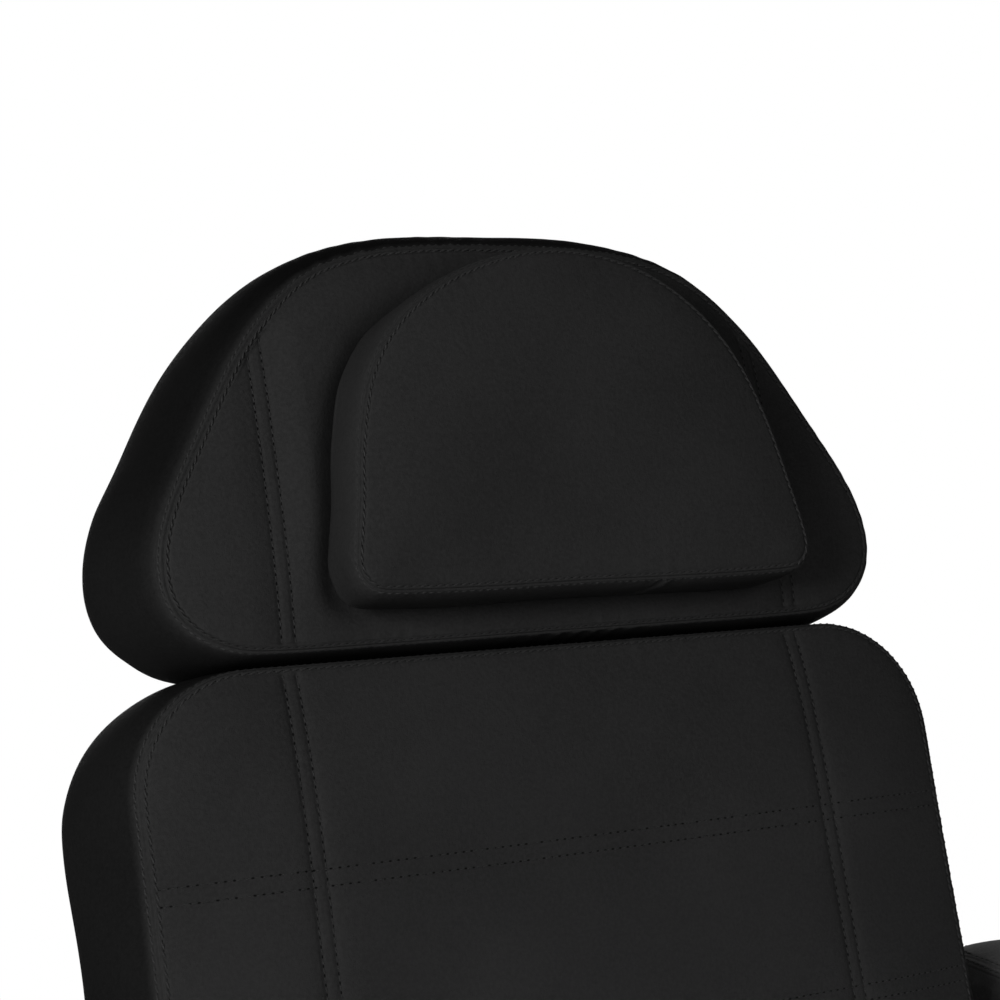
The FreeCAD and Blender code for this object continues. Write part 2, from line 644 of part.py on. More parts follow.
# Backrest: welded frame, swinging side plates, board and cushion
back_tubes = [
    tube("back_cross", "x", ("-1 * swing_start", "swing_start"), ("cross_middle", "frame_middle"),
         ("cross_width", "frame_depth"), "frame_wall", "frame_round"),
    tube("back_tie", "x", ("upright_width / 2 - upright_middle", "upright_middle - upright_width / 2"),
         ("tie_start + tie_width / 2", "frame_middle"), ("tie_width", "frame_depth"), "frame_wall", "frame_round"),
]
back_caps = []
for left in (False, True):
    side = "-1 * upright_middle" if left else "upright_middle"
    back_tubes.append(tube("back_upright", "y", ("cross_end", "cross_end + upright_length"),
                           (side, "frame_middle"), ("upright_width", "frame_depth"), "frame_wall", "frame_round"))
    back_caps.append(slab("back_cap", "y", ("cross_end + upright_length", "cross_end + upright_length + cap_thick"),
                          (side, "frame_middle"), ("upright_width", "frame_depth"), "frame_round"))
keep("back_frame", bundle(back_tubes), "back")
keep("back_caps", bundle(back_caps), "back")
swing_plates = []
for left in (False, True):
    swing_plates.append(bar("back_side", sides(("swing_start", "swing_end"), left), ("0", "0"),
                            ("cross_middle", "frame_middle"), "lug_radius",
                            [("hinge_pin + run_clear", ("0", "0"))]))
keep("back_side_plates", bundle(swing_plates), "back")
keep("back_board", slab("back_board", "z", ("board_level", "-1 * half_thick"),
                        ("0", "back_end / 2 - hinge_inset / 2 + hinge_board_cut / 2 - board_inset / 2"),
                        ("bed_width - 2 * board_inset", "back_length - hinge_board_cut - board_inset"),
                        "board_corner"), "back")
cushion("back_cushion",
        box_corners("half_width", "-1 * hinge_inset", "back_end", "hinge_corner", "cushion_corner"),
        ("soft_clear - half_thick", "half_thick"), "seam_inset", "back",
        grooves=("-1 * hinge_inset - overrun", "back_end + overrun"))

# Headrest guides on the back, with a clamp knob each
guides = []
for left in (False, True):
    side = "-1 * guide_middle" if left else "guide_middle"
    guide = tube("guide", "y", ("guide_start", "guide_end"), (side, "guide_level"),
                 ("guide_size", "guide_size"), "guide_wall", "guide_round")
    hole = cylinder("z", "knob_stem + free_clear",
                    ("board_level - guide_size - overrun", "board_level - guide_size + guide_wall + rod_clear / 2"),
                    (side, "guide_end - knob_from_top"))
    guides.append(cut(guide, hole))
keep("head_guides", bundle(guides), "back")
for left, label in ((True, "head_knob_left"), (False, "head_knob_right")):
    side = "-1 * guide_middle" if left else "guide_middle"
    centre = (side, "guide_end - knob_from_top")
    knob_top = "board_level - guide_size - knob_gap"
    body = new_body(label + "_head")
    sketch = new_sketch(body, "z", f"{knob_top} - knob_thick", centre)
    add_circle(sketch, "knob_radius")
    disc = pad(body, sketch, "knob_thick")
    rim = body.newObject("PartDesign::Fillet", label + "_rim")
    rim.Base = (disc, [f"Edge{index}" for index, edge in enumerate(disc.Shape.Edges, 1)
                       if edge.Curve.TypeId == "Part::GeomCircle"])
    rim.setExpression("Radius", bound("knob_edge"))
    doc.recompute()
    scoops = []
    for step in range(5):
        place = (f"{centre[0]} + knob_scoop_ring * cos({72 * step})",
                 f"{centre[1]} + knob_scoop_ring * sin({72 * step})")
        scoops.append(cylinder("z", "knob_scoop", (f"{knob_top} - knob_thick - overrun", f"{knob_top} + overrun"),
                               place))
    stem = cylinder("z", "knob_stem",
                    (f"{knob_top} - knob_thick / 2", "board_level - guide_size + guide_wall + rod_clear / 2"), centre)
    keep(label, joined([cut(body, bundle(scoops)), stem]), "back")

# Headrest rods that slide in the guides, and the tilting hinge
rods, hinge_pins, leaves = [], [], []
for left in (False, True):
    side = "-1 * guide_middle" if left else "guide_middle"
    rod = tube("rod", "y", ("guide_end - rod_depth", "head_hinge"), (side, "guide_level"),
               ("rod_size", "rod_size"), "rod_wall", "guide_round")
    rod_span = sides(("guide_middle - rod_size / 2", "guide_middle + rod_size / 2"), left)
    knuckle = cylinder("x", "rod_size / 2", rod_span, ("head_hinge", "guide_level"))
    pin_span = sides(("guide_middle - rod_size / 2 - ear_thick - pin_over",
                      "guide_middle + rod_size / 2 + ear_thick + pin_over"), left)
    bore = cylinder("x", "head_pin + run_clear", pin_span, ("head_hinge", "guide_level"))
    rods.append(cut(joined([rod, knuckle]), bore))
    hinge_pins.append(cylinder("x", "head_pin", pin_span, ("head_hinge", "guide_level")))
    ears = []
    for reach in (("guide_middle - rod_size / 2 - ear_thick - rod_clear", "guide_middle - rod_size / 2 - rod_clear"),
                  ("guide_middle + rod_size / 2 + rod_clear", "guide_middle + rod_size / 2 + ear_thick + rod_clear")):
        ear_span = sides(reach, left)
        ears.append(cylinder("x", "ear_radius", ear_span, ("head_hinge", "guide_level")))
        ears.append(block(ear_span, ("head_hinge", "head_hinge + leaf_start + ear_radius"),
                          ("guide_level - ear_radius", "board_level")))
    leaf_span = sides(("guide_middle - guide_size", "guide_middle + guide_size"), left)
    leaf = block(leaf_span, ("head_hinge + leaf_start", "head_hinge + leaf_start + leaf_length"),
                 ("board_level - leaf_thick", "board_level"))
    leaves.append(cut(joined([leaf, *ears]),
                      cylinder("x", "head_pin + run_clear", pin_span, ("head_hinge", "guide_level"))))
keep("head_rods", bundle(rods), "back")
keep("head_hinge_pins", bundle(hinge_pins), "back")
keep("head_leaves", bundle(leaves), "back")


def dome_corners(half, start, height, low_round, side_round, top_round):
    """Corners of the headrest's outline: straight foot, leaning sides and a rounded top."""
    waist = f"{start} + {height} * 0.34"
    upper = f"{start} + {height} * 0.73"
    end = f"{start} + {height}"
    return [
        (f"-1 * {half}", start, low_round), (half, start, low_round),
        (f"{half} * 0.955", waist, side_round), (f"{half} * 0.72", upper, side_round),
        (f"{half} * 0.47", end, top_round), (f"{half} * -0.47", end, top_round),
        (f"{half} * -0.72", upper, side_round), (f"{half} * -0.955", waist, side_round),
    ]


# Headrest: board and padded form
head_corners = dome_corners("head_half", "head_start", "head_height",
                            "head_low_corner", "head_side_round", "head_top_round")
head_values = [tuple(num(value) for value in corner) for corner in head_corners]
board_face = Part.Face(outline(head_values, num("board_inset"), num("board_level")))
head_board = doc.addObject("Part::Feature", "head_board")
head_board.Shape = board_face.extrude(FreeCAD.Vector(0, 0, num("board_thick")))
keep("head_board", head_board, "back")
cushion("head_cushion", head_corners, ("soft_clear - half_thick", "head_face"), "seam_inset", "back",
        grooves=("head_start - overrun", "head_start + head_height * 0.72"))

# Pillow on hook and loop strips
strips_low, strips_high = [], []
for step in (0, 1):
    strip_middle = ("0", f"head_start + tape_rise + {step} * tape_pitch")
    low = "head_face + soft_clear"
    high = "head_face + 2 * soft_clear + tape_thick"
    strips_low.append(slab("loop_strip", "z", (low, f"{low} + tape_thick"), strip_middle,
                           ("tape_length", "tape_width")))
    strips_high.append(slab("hook_strip", "z", (high, f"{high} + tape_thick"), strip_middle,
                            ("tape_length", "tape_width")))
keep("head_tape", bundle(strips_low), "back")
keep("pillow_tape", bundle(strips_high), "back")
pillow_corners = dome_corners("pillow_half", "head_start + pillow_rise", "pillow_height",
                              "pillow_low_corner", "pillow_side_round", "pillow_top_round")
cushion("pillow_cushion", pillow_corners, ("pillow_level", "pillow_level + pillow_thick"),
        "pillow_seam_inset", "back")

# Leg part: the same frame turned to the foot end
leg_tubes = [tube("leg_cross", "x", ("-1 * swing_start", "swing_start"), ("0 - cross_middle", "frame_middle"),
                  ("cross_width", "frame_depth"), "frame_wall", "frame_round")]
leg_caps, leg_plates = [], []
for left in (False, True):
    side = "-1 * upright_middle" if left else "upright_middle"
    leg_tubes.append(tube("leg_upright", "y", ("0 - cross_end - leg_upright_length", "0 - cross_end"),
                          (side, "frame_middle"), ("upright_width", "frame_depth"), "frame_wall", "frame_round"))
    leg_caps.append(slab("leg_cap", "y", ("0 - cross_end - leg_upright_length - cap_thick",
                                          "0 - cross_end - leg_upright_length"),
                         (side, "frame_middle"), ("upright_width", "frame_depth"), "frame_round"))
    leg_plates.append(bar("leg_side", sides(("swing_start", "swing_end"), left), ("0", "0"),
                          ("0 - cross_middle", "frame_middle"), "lug_radius",
                          [("hinge_pin + run_clear", ("0", "0"))]))
keep("leg_frame", bundle(leg_tubes), "leg")
keep("leg_caps", bundle(leg_caps), "leg")
keep("leg_side_plates", bundle(leg_plates), "leg")
keep("leg_board", slab("leg_board", "z", ("board_level", "-1 * half_thick"),
                       ("0", "hinge_inset / 2 - leg_end / 2 - hinge_board_cut / 2 + board_inset / 2"),
                       ("bed_width - 2 * board_inset", "leg_length - hinge_board_cut - board_inset"),
                       "board_corner"), "leg")
cushion("leg_cushion", box_corners("half_width", "0 - leg_end", "hinge_inset", "cushion_corner", "hinge_corner"),
        ("soft_clear - half_thick", "half_thick"), "seam_inset", "leg",
        grooves=("0 - leg_end - overrun", "hinge_inset + overrun"))

# Armrests: posts on the seat's lugs, swinging brackets, boards and pads
posts, arm_bolts = [], []
arm_axle = ("arm_pivot", "arm_pivot_height")
for left in (False, True):
    foot = ("back_hinge - post_foot", "outrigger_middle")
    posts.append(bar("post", sides(("lug_end", "post_end"), left), foot, arm_axle, "post_radius",
                     [("arm_pin + run_clear", arm_axle)]))
    arm_bolts.append(joined([
        cylinder("x", "arm_pin", sides(("lug_end - arm_pin_thick", "arm_plate_end + arm_nut_thick"), left), arm_axle),
        cylinder("x", "arm_pin_head", sides(("lug_end - arm_pin_thick", "lug_end"), left), arm_axle),
        hexagon("x", "arm_pin_head", sides(("arm_plate_end + run_clear", "arm_plate_end + arm_nut_thick"), left),
                arm_axle),
    ]))
keep("arm_posts", bundle(posts))
keep("arm_pivot_bolts", bundle(arm_bolts))
for left, label in ((True, "arm_left"), (False, "arm_right")):
    middle = "-1 * arm_middle" if left else "arm_middle"
    plate_span = sides(("arm_plate_start", "arm_plate_end"), left)
    plate_end = ("arm_pivot - arm_flange_length + post_radius", "arm_pivot_height + arm_pivot_drop - post_radius")
    flange_span = sides(("arm_plate_start", "arm_plate_start + arm_flange_width"), left)
    keep(label + "_bracket", joined([
        bar(label + "_plate", plate_span, arm_axle, plate_end, "post_radius", [("arm_pin + run_clear", arm_axle)]),
        block(flange_span, ("arm_pivot - arm_flange_length", "arm_pivot + post_radius"),
              ("arm_board_level - arm_flange_thick", "arm_board_level")),
    ]))
    keep(label + "_board", slab(label + "_board", "z", ("arm_board_level", "arm_bottom"),
                                (middle, "arm_end - arm_length / 2"),
                                ("arm_width - 2 * arm_board_inset", "arm_length - 2 * arm_board_inset"),
                                "arm_corner - arm_board_inset"))
    half = "arm_width / 2"
    cushion(label + "_pad",
            [(f"{middle} - {half}", "arm_end - arm_length", "arm_corner"),
             (f"{middle} + {half}", "arm_end - arm_length", "arm_corner"),
             (f"{middle} + {half}", "arm_end", "arm_corner"), (f"{middle} - {half}", "arm_end", "arm_corner")],
            ("arm_bottom + soft_clear", "arm_top"), "arm_seam_inset")

# Check every object and write one file for each sub-part
doc.recompute()
for item in doc.Objects:
    if "Invalid" in item.State or "Error" in item.State:
        raise RuntimeError(f"{item.Label} has not recomputed: {item.State}")
os.makedirs("parts", exist_ok=True)
for label, item in NODES.items():
    shape = item.Shape
    if shape.isNull() or not shape.isValid() or not shape.Solids:
        raise RuntimeError(f"{label} has no valid solid")
    shape.exportStep(os.path.join("parts", label + ".step"))
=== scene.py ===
"""Beauty bed: padded leather pieces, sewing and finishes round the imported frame."""
import json
import logging
import math
from dataclasses import dataclass, field
from enum import Enum
from typing import Sequence

import bpy
import numpy as np
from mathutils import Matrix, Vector
from mathutils.bvhtree import BVHTree
from mathutils.kdtree import KDTree


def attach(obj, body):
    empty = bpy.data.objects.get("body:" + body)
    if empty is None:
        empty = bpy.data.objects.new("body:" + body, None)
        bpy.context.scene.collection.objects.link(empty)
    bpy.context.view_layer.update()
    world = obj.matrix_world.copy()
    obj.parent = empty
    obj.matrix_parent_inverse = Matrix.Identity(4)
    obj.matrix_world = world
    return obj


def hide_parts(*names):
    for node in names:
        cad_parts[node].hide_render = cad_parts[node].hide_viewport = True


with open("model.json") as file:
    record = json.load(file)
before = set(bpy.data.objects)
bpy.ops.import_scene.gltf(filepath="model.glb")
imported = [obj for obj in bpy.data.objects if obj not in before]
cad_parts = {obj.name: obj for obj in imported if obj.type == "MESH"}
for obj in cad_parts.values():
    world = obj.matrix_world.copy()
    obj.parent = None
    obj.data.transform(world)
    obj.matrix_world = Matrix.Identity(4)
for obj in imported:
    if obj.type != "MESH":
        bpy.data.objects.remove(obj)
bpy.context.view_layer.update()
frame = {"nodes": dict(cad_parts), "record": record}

log = logging.getLogger("beauty_bed")
MM = 0.001


# ---- shader maths


class Sock:
    """An output socket on which sums are written as Python expressions."""

    def __init__(self, shop: "Shop", socket: bpy.types.NodeSocket) -> None:
        """Keep the socket and the node tree it belongs to."""
        self.shop = shop
        self.socket = socket

    def _math(self, kind: str, *values: "Sock | float") -> "Sock":
        """Add one Math node for an operation on values."""
        return self.shop.node("ShaderNodeMath", {"operation": kind}, dict(enumerate(values)))

    def __add__(self, other: "Sock | float") -> "Sock":
        """Sum."""
        return self._math("ADD", self, other)

    def __sub__(self, other: "Sock | float") -> "Sock":
        """Difference."""
        return self._math("SUBTRACT", self, other)

    def __rsub__(self, other: float) -> "Sock":
        """Difference from a number."""
        return self._math("SUBTRACT", other, self)

    def __mul__(self, other: "Sock | float") -> "Sock":
        """Product."""
        return self._math("MULTIPLY", self, other)

    __radd__ = __add__
    __rmul__ = __mul__

    def ramp(self, low: float, high: float, start: float = 0.0, end: float = 1.0) -> "Sock":
        """Map a range smoothly to another, held at its ends."""
        settings = {"interpolation_type": "SMOOTHSTEP", "clamp": True}
        return self.shop.node("ShaderNodeMapRange", settings, {0: self, 1: low, 2: high, 3: start, 4: end})


class Shop:
    """Makes the nodes of one material or world."""

    def __init__(self, tree: bpy.types.NodeTree) -> None:
        """Start from an empty tree."""
        self.tree = tree
        tree.nodes.clear()

    def node(self, kind: str, settings: dict | None = None, inputs: dict | None = None,
             out: int | str = 0) -> Sock:
        """Add a node.

        Args:
            kind: Blender's type name.
            settings: properties, which are set first.
            inputs: socket name or number to a value or a Sock.
            out: the output that is returned.

        Returns:
            The node's output as a Sock.
        """
        item = self.tree.nodes.new(kind)
        for key, value in (settings or {}).items():
            setattr(item, key, value)
        for key, value in (inputs or {}).items():
            if isinstance(value, Sock):
                self.tree.links.new(value.socket, item.inputs[key])
            else:
                item.inputs[key].default_value = value
        return Sock(self, item.outputs[out]) if item.outputs else Sock(self, None)

    def place(self, scale: tuple[float, float, float] = (1.0, 1.0, 1.0), turn: float = 0.0) -> Sock:
        """Object coordinates, scaled and turned about X."""
        coords = self.node("ShaderNodeTexCoord", out="Object")
        return self.node("ShaderNodeMapping", {}, {"Vector": coords, "Scale": scale,
                                                   "Rotation": (turn, 0.0, 0.0)})

    def noise(self, where: Sock, scale: float, detail: float = 2.0, rough: float = 0.5) -> Sock:
        """A noise value."""
        return self.node("ShaderNodeTexNoise", {}, {"Vector": where, "Scale": scale, "Detail": detail,
                                                    "Roughness": rough})

    def mix(self, share: Sock | float, first: tuple | Sock, second: tuple | Sock) -> Sock:
        """A colour between two colours."""
        return self.node("ShaderNodeMix", {"data_type": "RGBA"}, {0: share, 6: first, 7: second}, out=2)

    def wave(self, where: Sock, direction: str, scale: float, distortion: float) -> Sock:
        """A value that rises and falls in bands."""
        return self.node("ShaderNodeTexWave", {"wave_type": "BANDS", "bands_direction": direction},
                         {"Vector": where, "Scale": scale, "Distortion": distortion, "Detail": 1.0})

    def attribute(self, name: str) -> Sock:
        """A value kept at the mesh's points."""
        return self.node("ShaderNodeAttribute", {"attribute_name": name}, out="Fac")

    def seen(self) -> Sock:
        """1 for rays from the camera, from a mirror or through glass, else 0."""
        camera, mirror, glass = (self.node("ShaderNodeLightPath", out=f"Is {kind} Ray")
                                 for kind in ("Camera", "Glossy", "Transmission"))
        return (camera + mirror + glass).ramp(0.0, 1.0)

    def bump(self, height: Sock, strength: float, depth: float, below: Sock | None = None) -> Sock:
        """A normal that follows a height."""
        inputs = {"Height": height, "Strength": strength, "Distance": depth}
        if below is not None:
            inputs["Normal"] = below
        return self.node("ShaderNodeBump", {}, inputs)


def grey(value: float, warm: float = 0.0) -> tuple[float, float, float, float]:
    """A near-grey colour, a little warmer or cooler."""
    return (value * (1 + warm), value, value * (1 - warm), 1.0)


@dataclass(frozen=True)
class Finish:
    """A finish made of nodes: base colour, roughness and fixed shader values."""

    name: str
    tone: float
    rough: float
    metallic: float = 0.0
    specular: float = 0.5

    def build(self) -> bpy.types.Material:
        """Make the material.

        Returns:
            The finished material.
        """
        material = bpy.data.materials.new(self.name)
        material.use_nodes = True
        shop = Shop(material.node_tree)
        colour, rough, normal = self.surface(shop)
        shader = shop.node("ShaderNodeBsdfPrincipled", {}, {
            "Base Color": colour, "Roughness": rough, "Normal": normal, "Metallic": self.metallic,
            "Specular IOR Level": self.specular})
        shop.node("ShaderNodeOutputMaterial", {}, {"Surface": shader})
        return material

    def surface(self, shop: Shop) -> tuple[Sock, Sock, Sock]:
        """Colour, roughness and normal of a plain coated surface."""
        where = shop.place()
        cloud = shop.noise(where, 14.0, 3.0)
        fine = shop.noise(where, 900.0, 2.0)
        colour = shop.mix(cloud, grey(self.tone * 0.85), grey(self.tone * 1.15))
        rough = cloud.ramp(0.25, 0.75, self.rough - 0.05, self.rough + 0.05)
        return colour, rough, shop.bump(fine, 0.10, 0.0002)


@dataclass(frozen=True)
class LeatherFinish(Finish):
    """Artificial leather: fine pebbled grain, soft clouds and a dull sheen."""

    grain: float = 1150.0

    def surface(self, shop: Shop) -> tuple[Sock, Sock, Sock]:
        """Colour, roughness and normal of grained leather, with painted shade on the boxing from a mesh
        attribute.
        """
        where = shop.place()
        bend = shop.node("ShaderNodeTexNoise", {}, {"Vector": where, "Scale": 420.0, "Detail": 1.0},
                         out="Color")
        shift = shop.node("ShaderNodeVectorMath", {"operation": "SCALE"}, {0: bend, "Scale": 0.0011})
        bent = shop.node("ShaderNodeVectorMath", {"operation": "ADD"}, {0: where, 1: shift})
        cells = shop.node("ShaderNodeTexVoronoi", {"feature": "DISTANCE_TO_EDGE"},
                          {"Vector": bent, "Scale": self.grain})
        pebble = cells.ramp(0.0, 0.22)
        cloud = shop.noise(where, 9.0, 3.0)
        speck = shop.noise(where, 480.0, 3.0, 0.6)
        tone = cloud * 0.35 + speck * 0.65
        full = shop.mix(tone.ramp(0.3, 0.7), grey(self.tone * 0.82), grey(self.tone * 1.18))
        # Painted shade: the boxing's colour is mixed towards black by the attribute
        colour = shop.mix(shop.attribute("boxing_painted_shade"), grey(0.0), full)
        rough = (cloud * 0.5 + (1.0 - pebble) * 0.5).ramp(0.1, 0.8, self.rough - 0.06, self.rough + 0.08)
        height = pebble * 0.55 + speck * 0.45
        crease = shop.noise(where, 330.0, 2.0, 0.55)
        slow = shop.noise(where, 60.0, 2.0)
        soft = shop.bump(crease, 0.30, 0.0011, shop.bump(slow, 0.12, 0.0012))
        return colour, rough, shop.bump(height, 0.36, 0.0004, soft)


@dataclass(frozen=True)
class ThreadFinish(Finish):
    """Twisted sewing thread, with painted shade in its needle holes."""

    def surface(self, shop: Shop) -> tuple[Sock, Sock, Sock]:
        """Colour, roughness and normal of a twisted thread."""
        twist = shop.wave(shop.place(turn=0.6), "DIAGONAL", 620.0, 1.0)
        strand = shop.mix(twist.ramp(0.2, 0.8), grey(self.tone * 0.75), grey(self.tone * 1.25))
        # Painted shade: the needle holes are coloured near-black
        colour = shop.mix(shop.attribute("needle_hole_shade"), strand, grey(self.tone * 0.12))
        rough = twist.ramp(0.0, 1.0, self.rough - 0.1, self.rough + 0.1)
        return colour, rough, shop.bump(twist, 0.4, 0.0003)


@dataclass(frozen=True)
class ClothFinish(Finish):
    """Lining cloth or tape: crossed threads."""

    pitch: float = 700.0

    def surface(self, shop: Shop) -> tuple[Sock, Sock, Sock]:
        """Colour, roughness and normal of a plain weave."""
        where = shop.place()
        warp, weft = (shop.wave(where, direction, self.pitch, 0.6) for direction in "XZ")
        weave = warp * 0.5 + weft * 0.5
        cloud = shop.noise(where, 30.0, 4.0)
        colour = shop.mix(weave * 0.7 + cloud * 0.3, grey(self.tone * 0.6), grey(self.tone * 1.3))
        rough = cloud.ramp(0.2, 0.8, self.rough - 0.05, self.rough + 0.05)
        return colour, rough, shop.bump(weave, 0.5, 0.0004)


@dataclass(frozen=True)
class CoatFinish(Finish):
    """Powder coat: a fine orange-peel skin."""

    def surface(self, shop: Shop) -> tuple[Sock, Sock, Sock]:
        """Colour, roughness and normal of powder coat."""
        where = shop.place()
        peel = shop.noise(where, 520.0, 2.0, 0.55)
        cloud = shop.noise(where, 11.0, 4.0)
        colour = shop.mix(cloud, grey(self.tone * 0.85), grey(self.tone * 1.2))
        rough = (peel * 0.4 + cloud * 0.6).ramp(0.2, 0.8, self.rough - 0.07, self.rough + 0.07)
        return colour, rough, shop.bump(peel, 0.22, 0.0005)


@dataclass(frozen=True)
class MetalFinish(Finish):
    """Bare or plated metal with faint wiping marks."""

    grain: tuple[float, float, float] = (1.0, 1.0, 0.06)
    marks: float = 900.0

    def surface(self, shop: Shop) -> tuple[Sock, Sock, Sock]:
        """Colour, roughness and normal of metal."""
        brush = shop.noise(shop.place(self.grain), self.marks, 2.0)
        cloud = shop.noise(shop.place(), 16.0, 4.0)
        colour = shop.mix(cloud, grey(self.tone * 0.94), grey(min(1.0, self.tone * 1.04), -0.01))
        rough = (brush * 0.6 + cloud * 0.4).ramp(0.25, 0.75, self.rough * 0.7, self.rough * 1.4)
        return colour, rough, shop.bump(brush, 0.05, 0.0001)


class Look(Enum):
    """The bed's finishes."""

    LEATHER = LeatherFinish("grained_leather", 0.0150, 0.66, specular=0.001)
    # Painted light: the armrests' leather is the pads' leather painted over twice as light, standing in for
    # light and sheen on their tops
    ARM = LeatherFinish("arm_leather", 0.0360, 0.60, specular=0.012)
    THREAD = ThreadFinish("sewing_thread", 0.0190, 0.60, specular=0.01)
    COAT = CoatFinish("powder_coat", 0.022, 0.42, specular=0.45)
    CHROME = MetalFinish("polished_chrome", 0.58, 0.07, metallic=1.0)
    ZINC = MetalFinish("bright_zinc", 0.50, 0.30, metallic=1.0, grain=(0.2, 1.0, 1.0))
    RUBBER = Finish("moulded_rubber", 0.020, 0.75, specular=0.3)
    PLASTIC = Finish("moulded_plastic", 0.022, 0.48, specular=0.4)
    LINING = ClothFinish("lining_cloth", 0.018, 0.85, specular=0.1)
    TAPE = ClothFinish("hook_and_loop", 0.014, 0.9, specular=0.1, pitch=1100.0)

    def material(self) -> bpy.types.Material:
        """The material of this finish, made once."""
        known = bpy.data.materials.get(self.value.name)
        return known if known else self.value.build()


# ---- where padded pieces lie and how they are outlined


@dataclass(frozen=True)
class Lie:
    """How a padded piece lies: the line that it hangs on and its tilt about X, in mm and degrees."""

    y: float = 0.0
    z: float = 0.0
    tilt: float = 0.0

    @property
    def _turn(self) -> tuple[float, float]:
        """Cosine and sine of the tilt."""
        return math.cos(math.radians(self.tilt)), math.sin(math.radians(self.tilt))

    def world(self, local: np.ndarray) -> np.ndarray:
        """Points in mm along and out of the piece to metres in the shared frame."""
        c, s = self._turn
        u, v, w = local.T
        return np.stack([u, self.y + v * c - w * s, self.z + v * s + w * c], 1) * MM

    def local(self, world: np.ndarray) -> np.ndarray:
        """Points in metres in the shared frame to mm along and out of the piece."""
        c, s = self._turn
        x, y, z = (world / MM).T
        y, z = y - self.y, z - self.z
        return np.stack([x, y * c + z * s, z * c - y * s], 1)

    def outward(self) -> Vector:
        """The direction out of the piece's face."""
        c, s = self._turn
        return Vector((0.0, -s, c))


BACK = Lie(262.0, 543.5, 72.0)
LEG = Lie(-382.0, 543.5, 18.0)
LEVEL = Lie()


def smooth_step(low: float, high: float, value: np.ndarray) -> np.ndarray:
    """A smooth rise from 0 at low to 1 at high."""
    share = np.clip((value - low) / (high - low), 0.0, 1.0)
    return share * share * (3.0 - 2.0 * share)


def sample(marks: np.ndarray, reach: np.ndarray, values: np.ndarray) -> np.ndarray:
    """Rows of values, given at distances, at other distances."""
    return np.stack([np.interp(marks, reach, values[:, axis]) for axis in range(values.shape[1])], 1)


def even_steps(line: np.ndarray, count: int) -> np.ndarray:
    """A polyline's points at even distances, without its last point."""
    gaps = np.linalg.norm(np.diff(line, axis=0), axis=1)
    reach = np.concatenate([[0.0], np.cumsum(gaps)])
    marks = np.linspace(0.0, reach[-1], count + 1)[:-1]
    return sample(marks, reach, line)


def closed(line: np.ndarray) -> np.ndarray:
    """A loop's points with the first one again at the end."""
    return np.concatenate([line, line[:1]])


def mound(off: np.ndarray, width: float | np.ndarray) -> np.ndarray:
    """A round mound of height 1 over a distance from its middle."""
    return np.exp(-(off / width) ** 2)


def by_angle(table: Sequence[tuple[float, ...]], outward: np.ndarray) -> list[np.ndarray]:
    """Read a table by the angle between the outward directions and the piece's cross direction.

    Args:
        table: rows of an angle in degrees, from -90 at the foot to 90 at the top, and values.
        outward: outward directions along an outline.

    Returns:
        One array for each column of values.
    """
    angle = np.degrees(np.arcsin(np.clip(outward[:, 1], -1.0, 1.0)))
    angles, *columns = zip(*table)
    return [np.interp(angle, angles, column) for column in columns]


def nearest_tree(line: np.ndarray) -> KDTree:
    """A search tree over the points of a flat line."""
    tree = KDTree(len(line))
    for index, (x, y) in enumerate(line):
        tree.insert((x, y, 0.0), index)
    tree.balance()
    return tree


def read(items: bpy.types.bpy_prop_collection, name: str) -> np.ndarray:
    """A vector property of all items, as rows of three."""
    values = np.empty(len(items) * 3)
    items.foreach_get(name, values)
    return values.reshape(-1, 3)


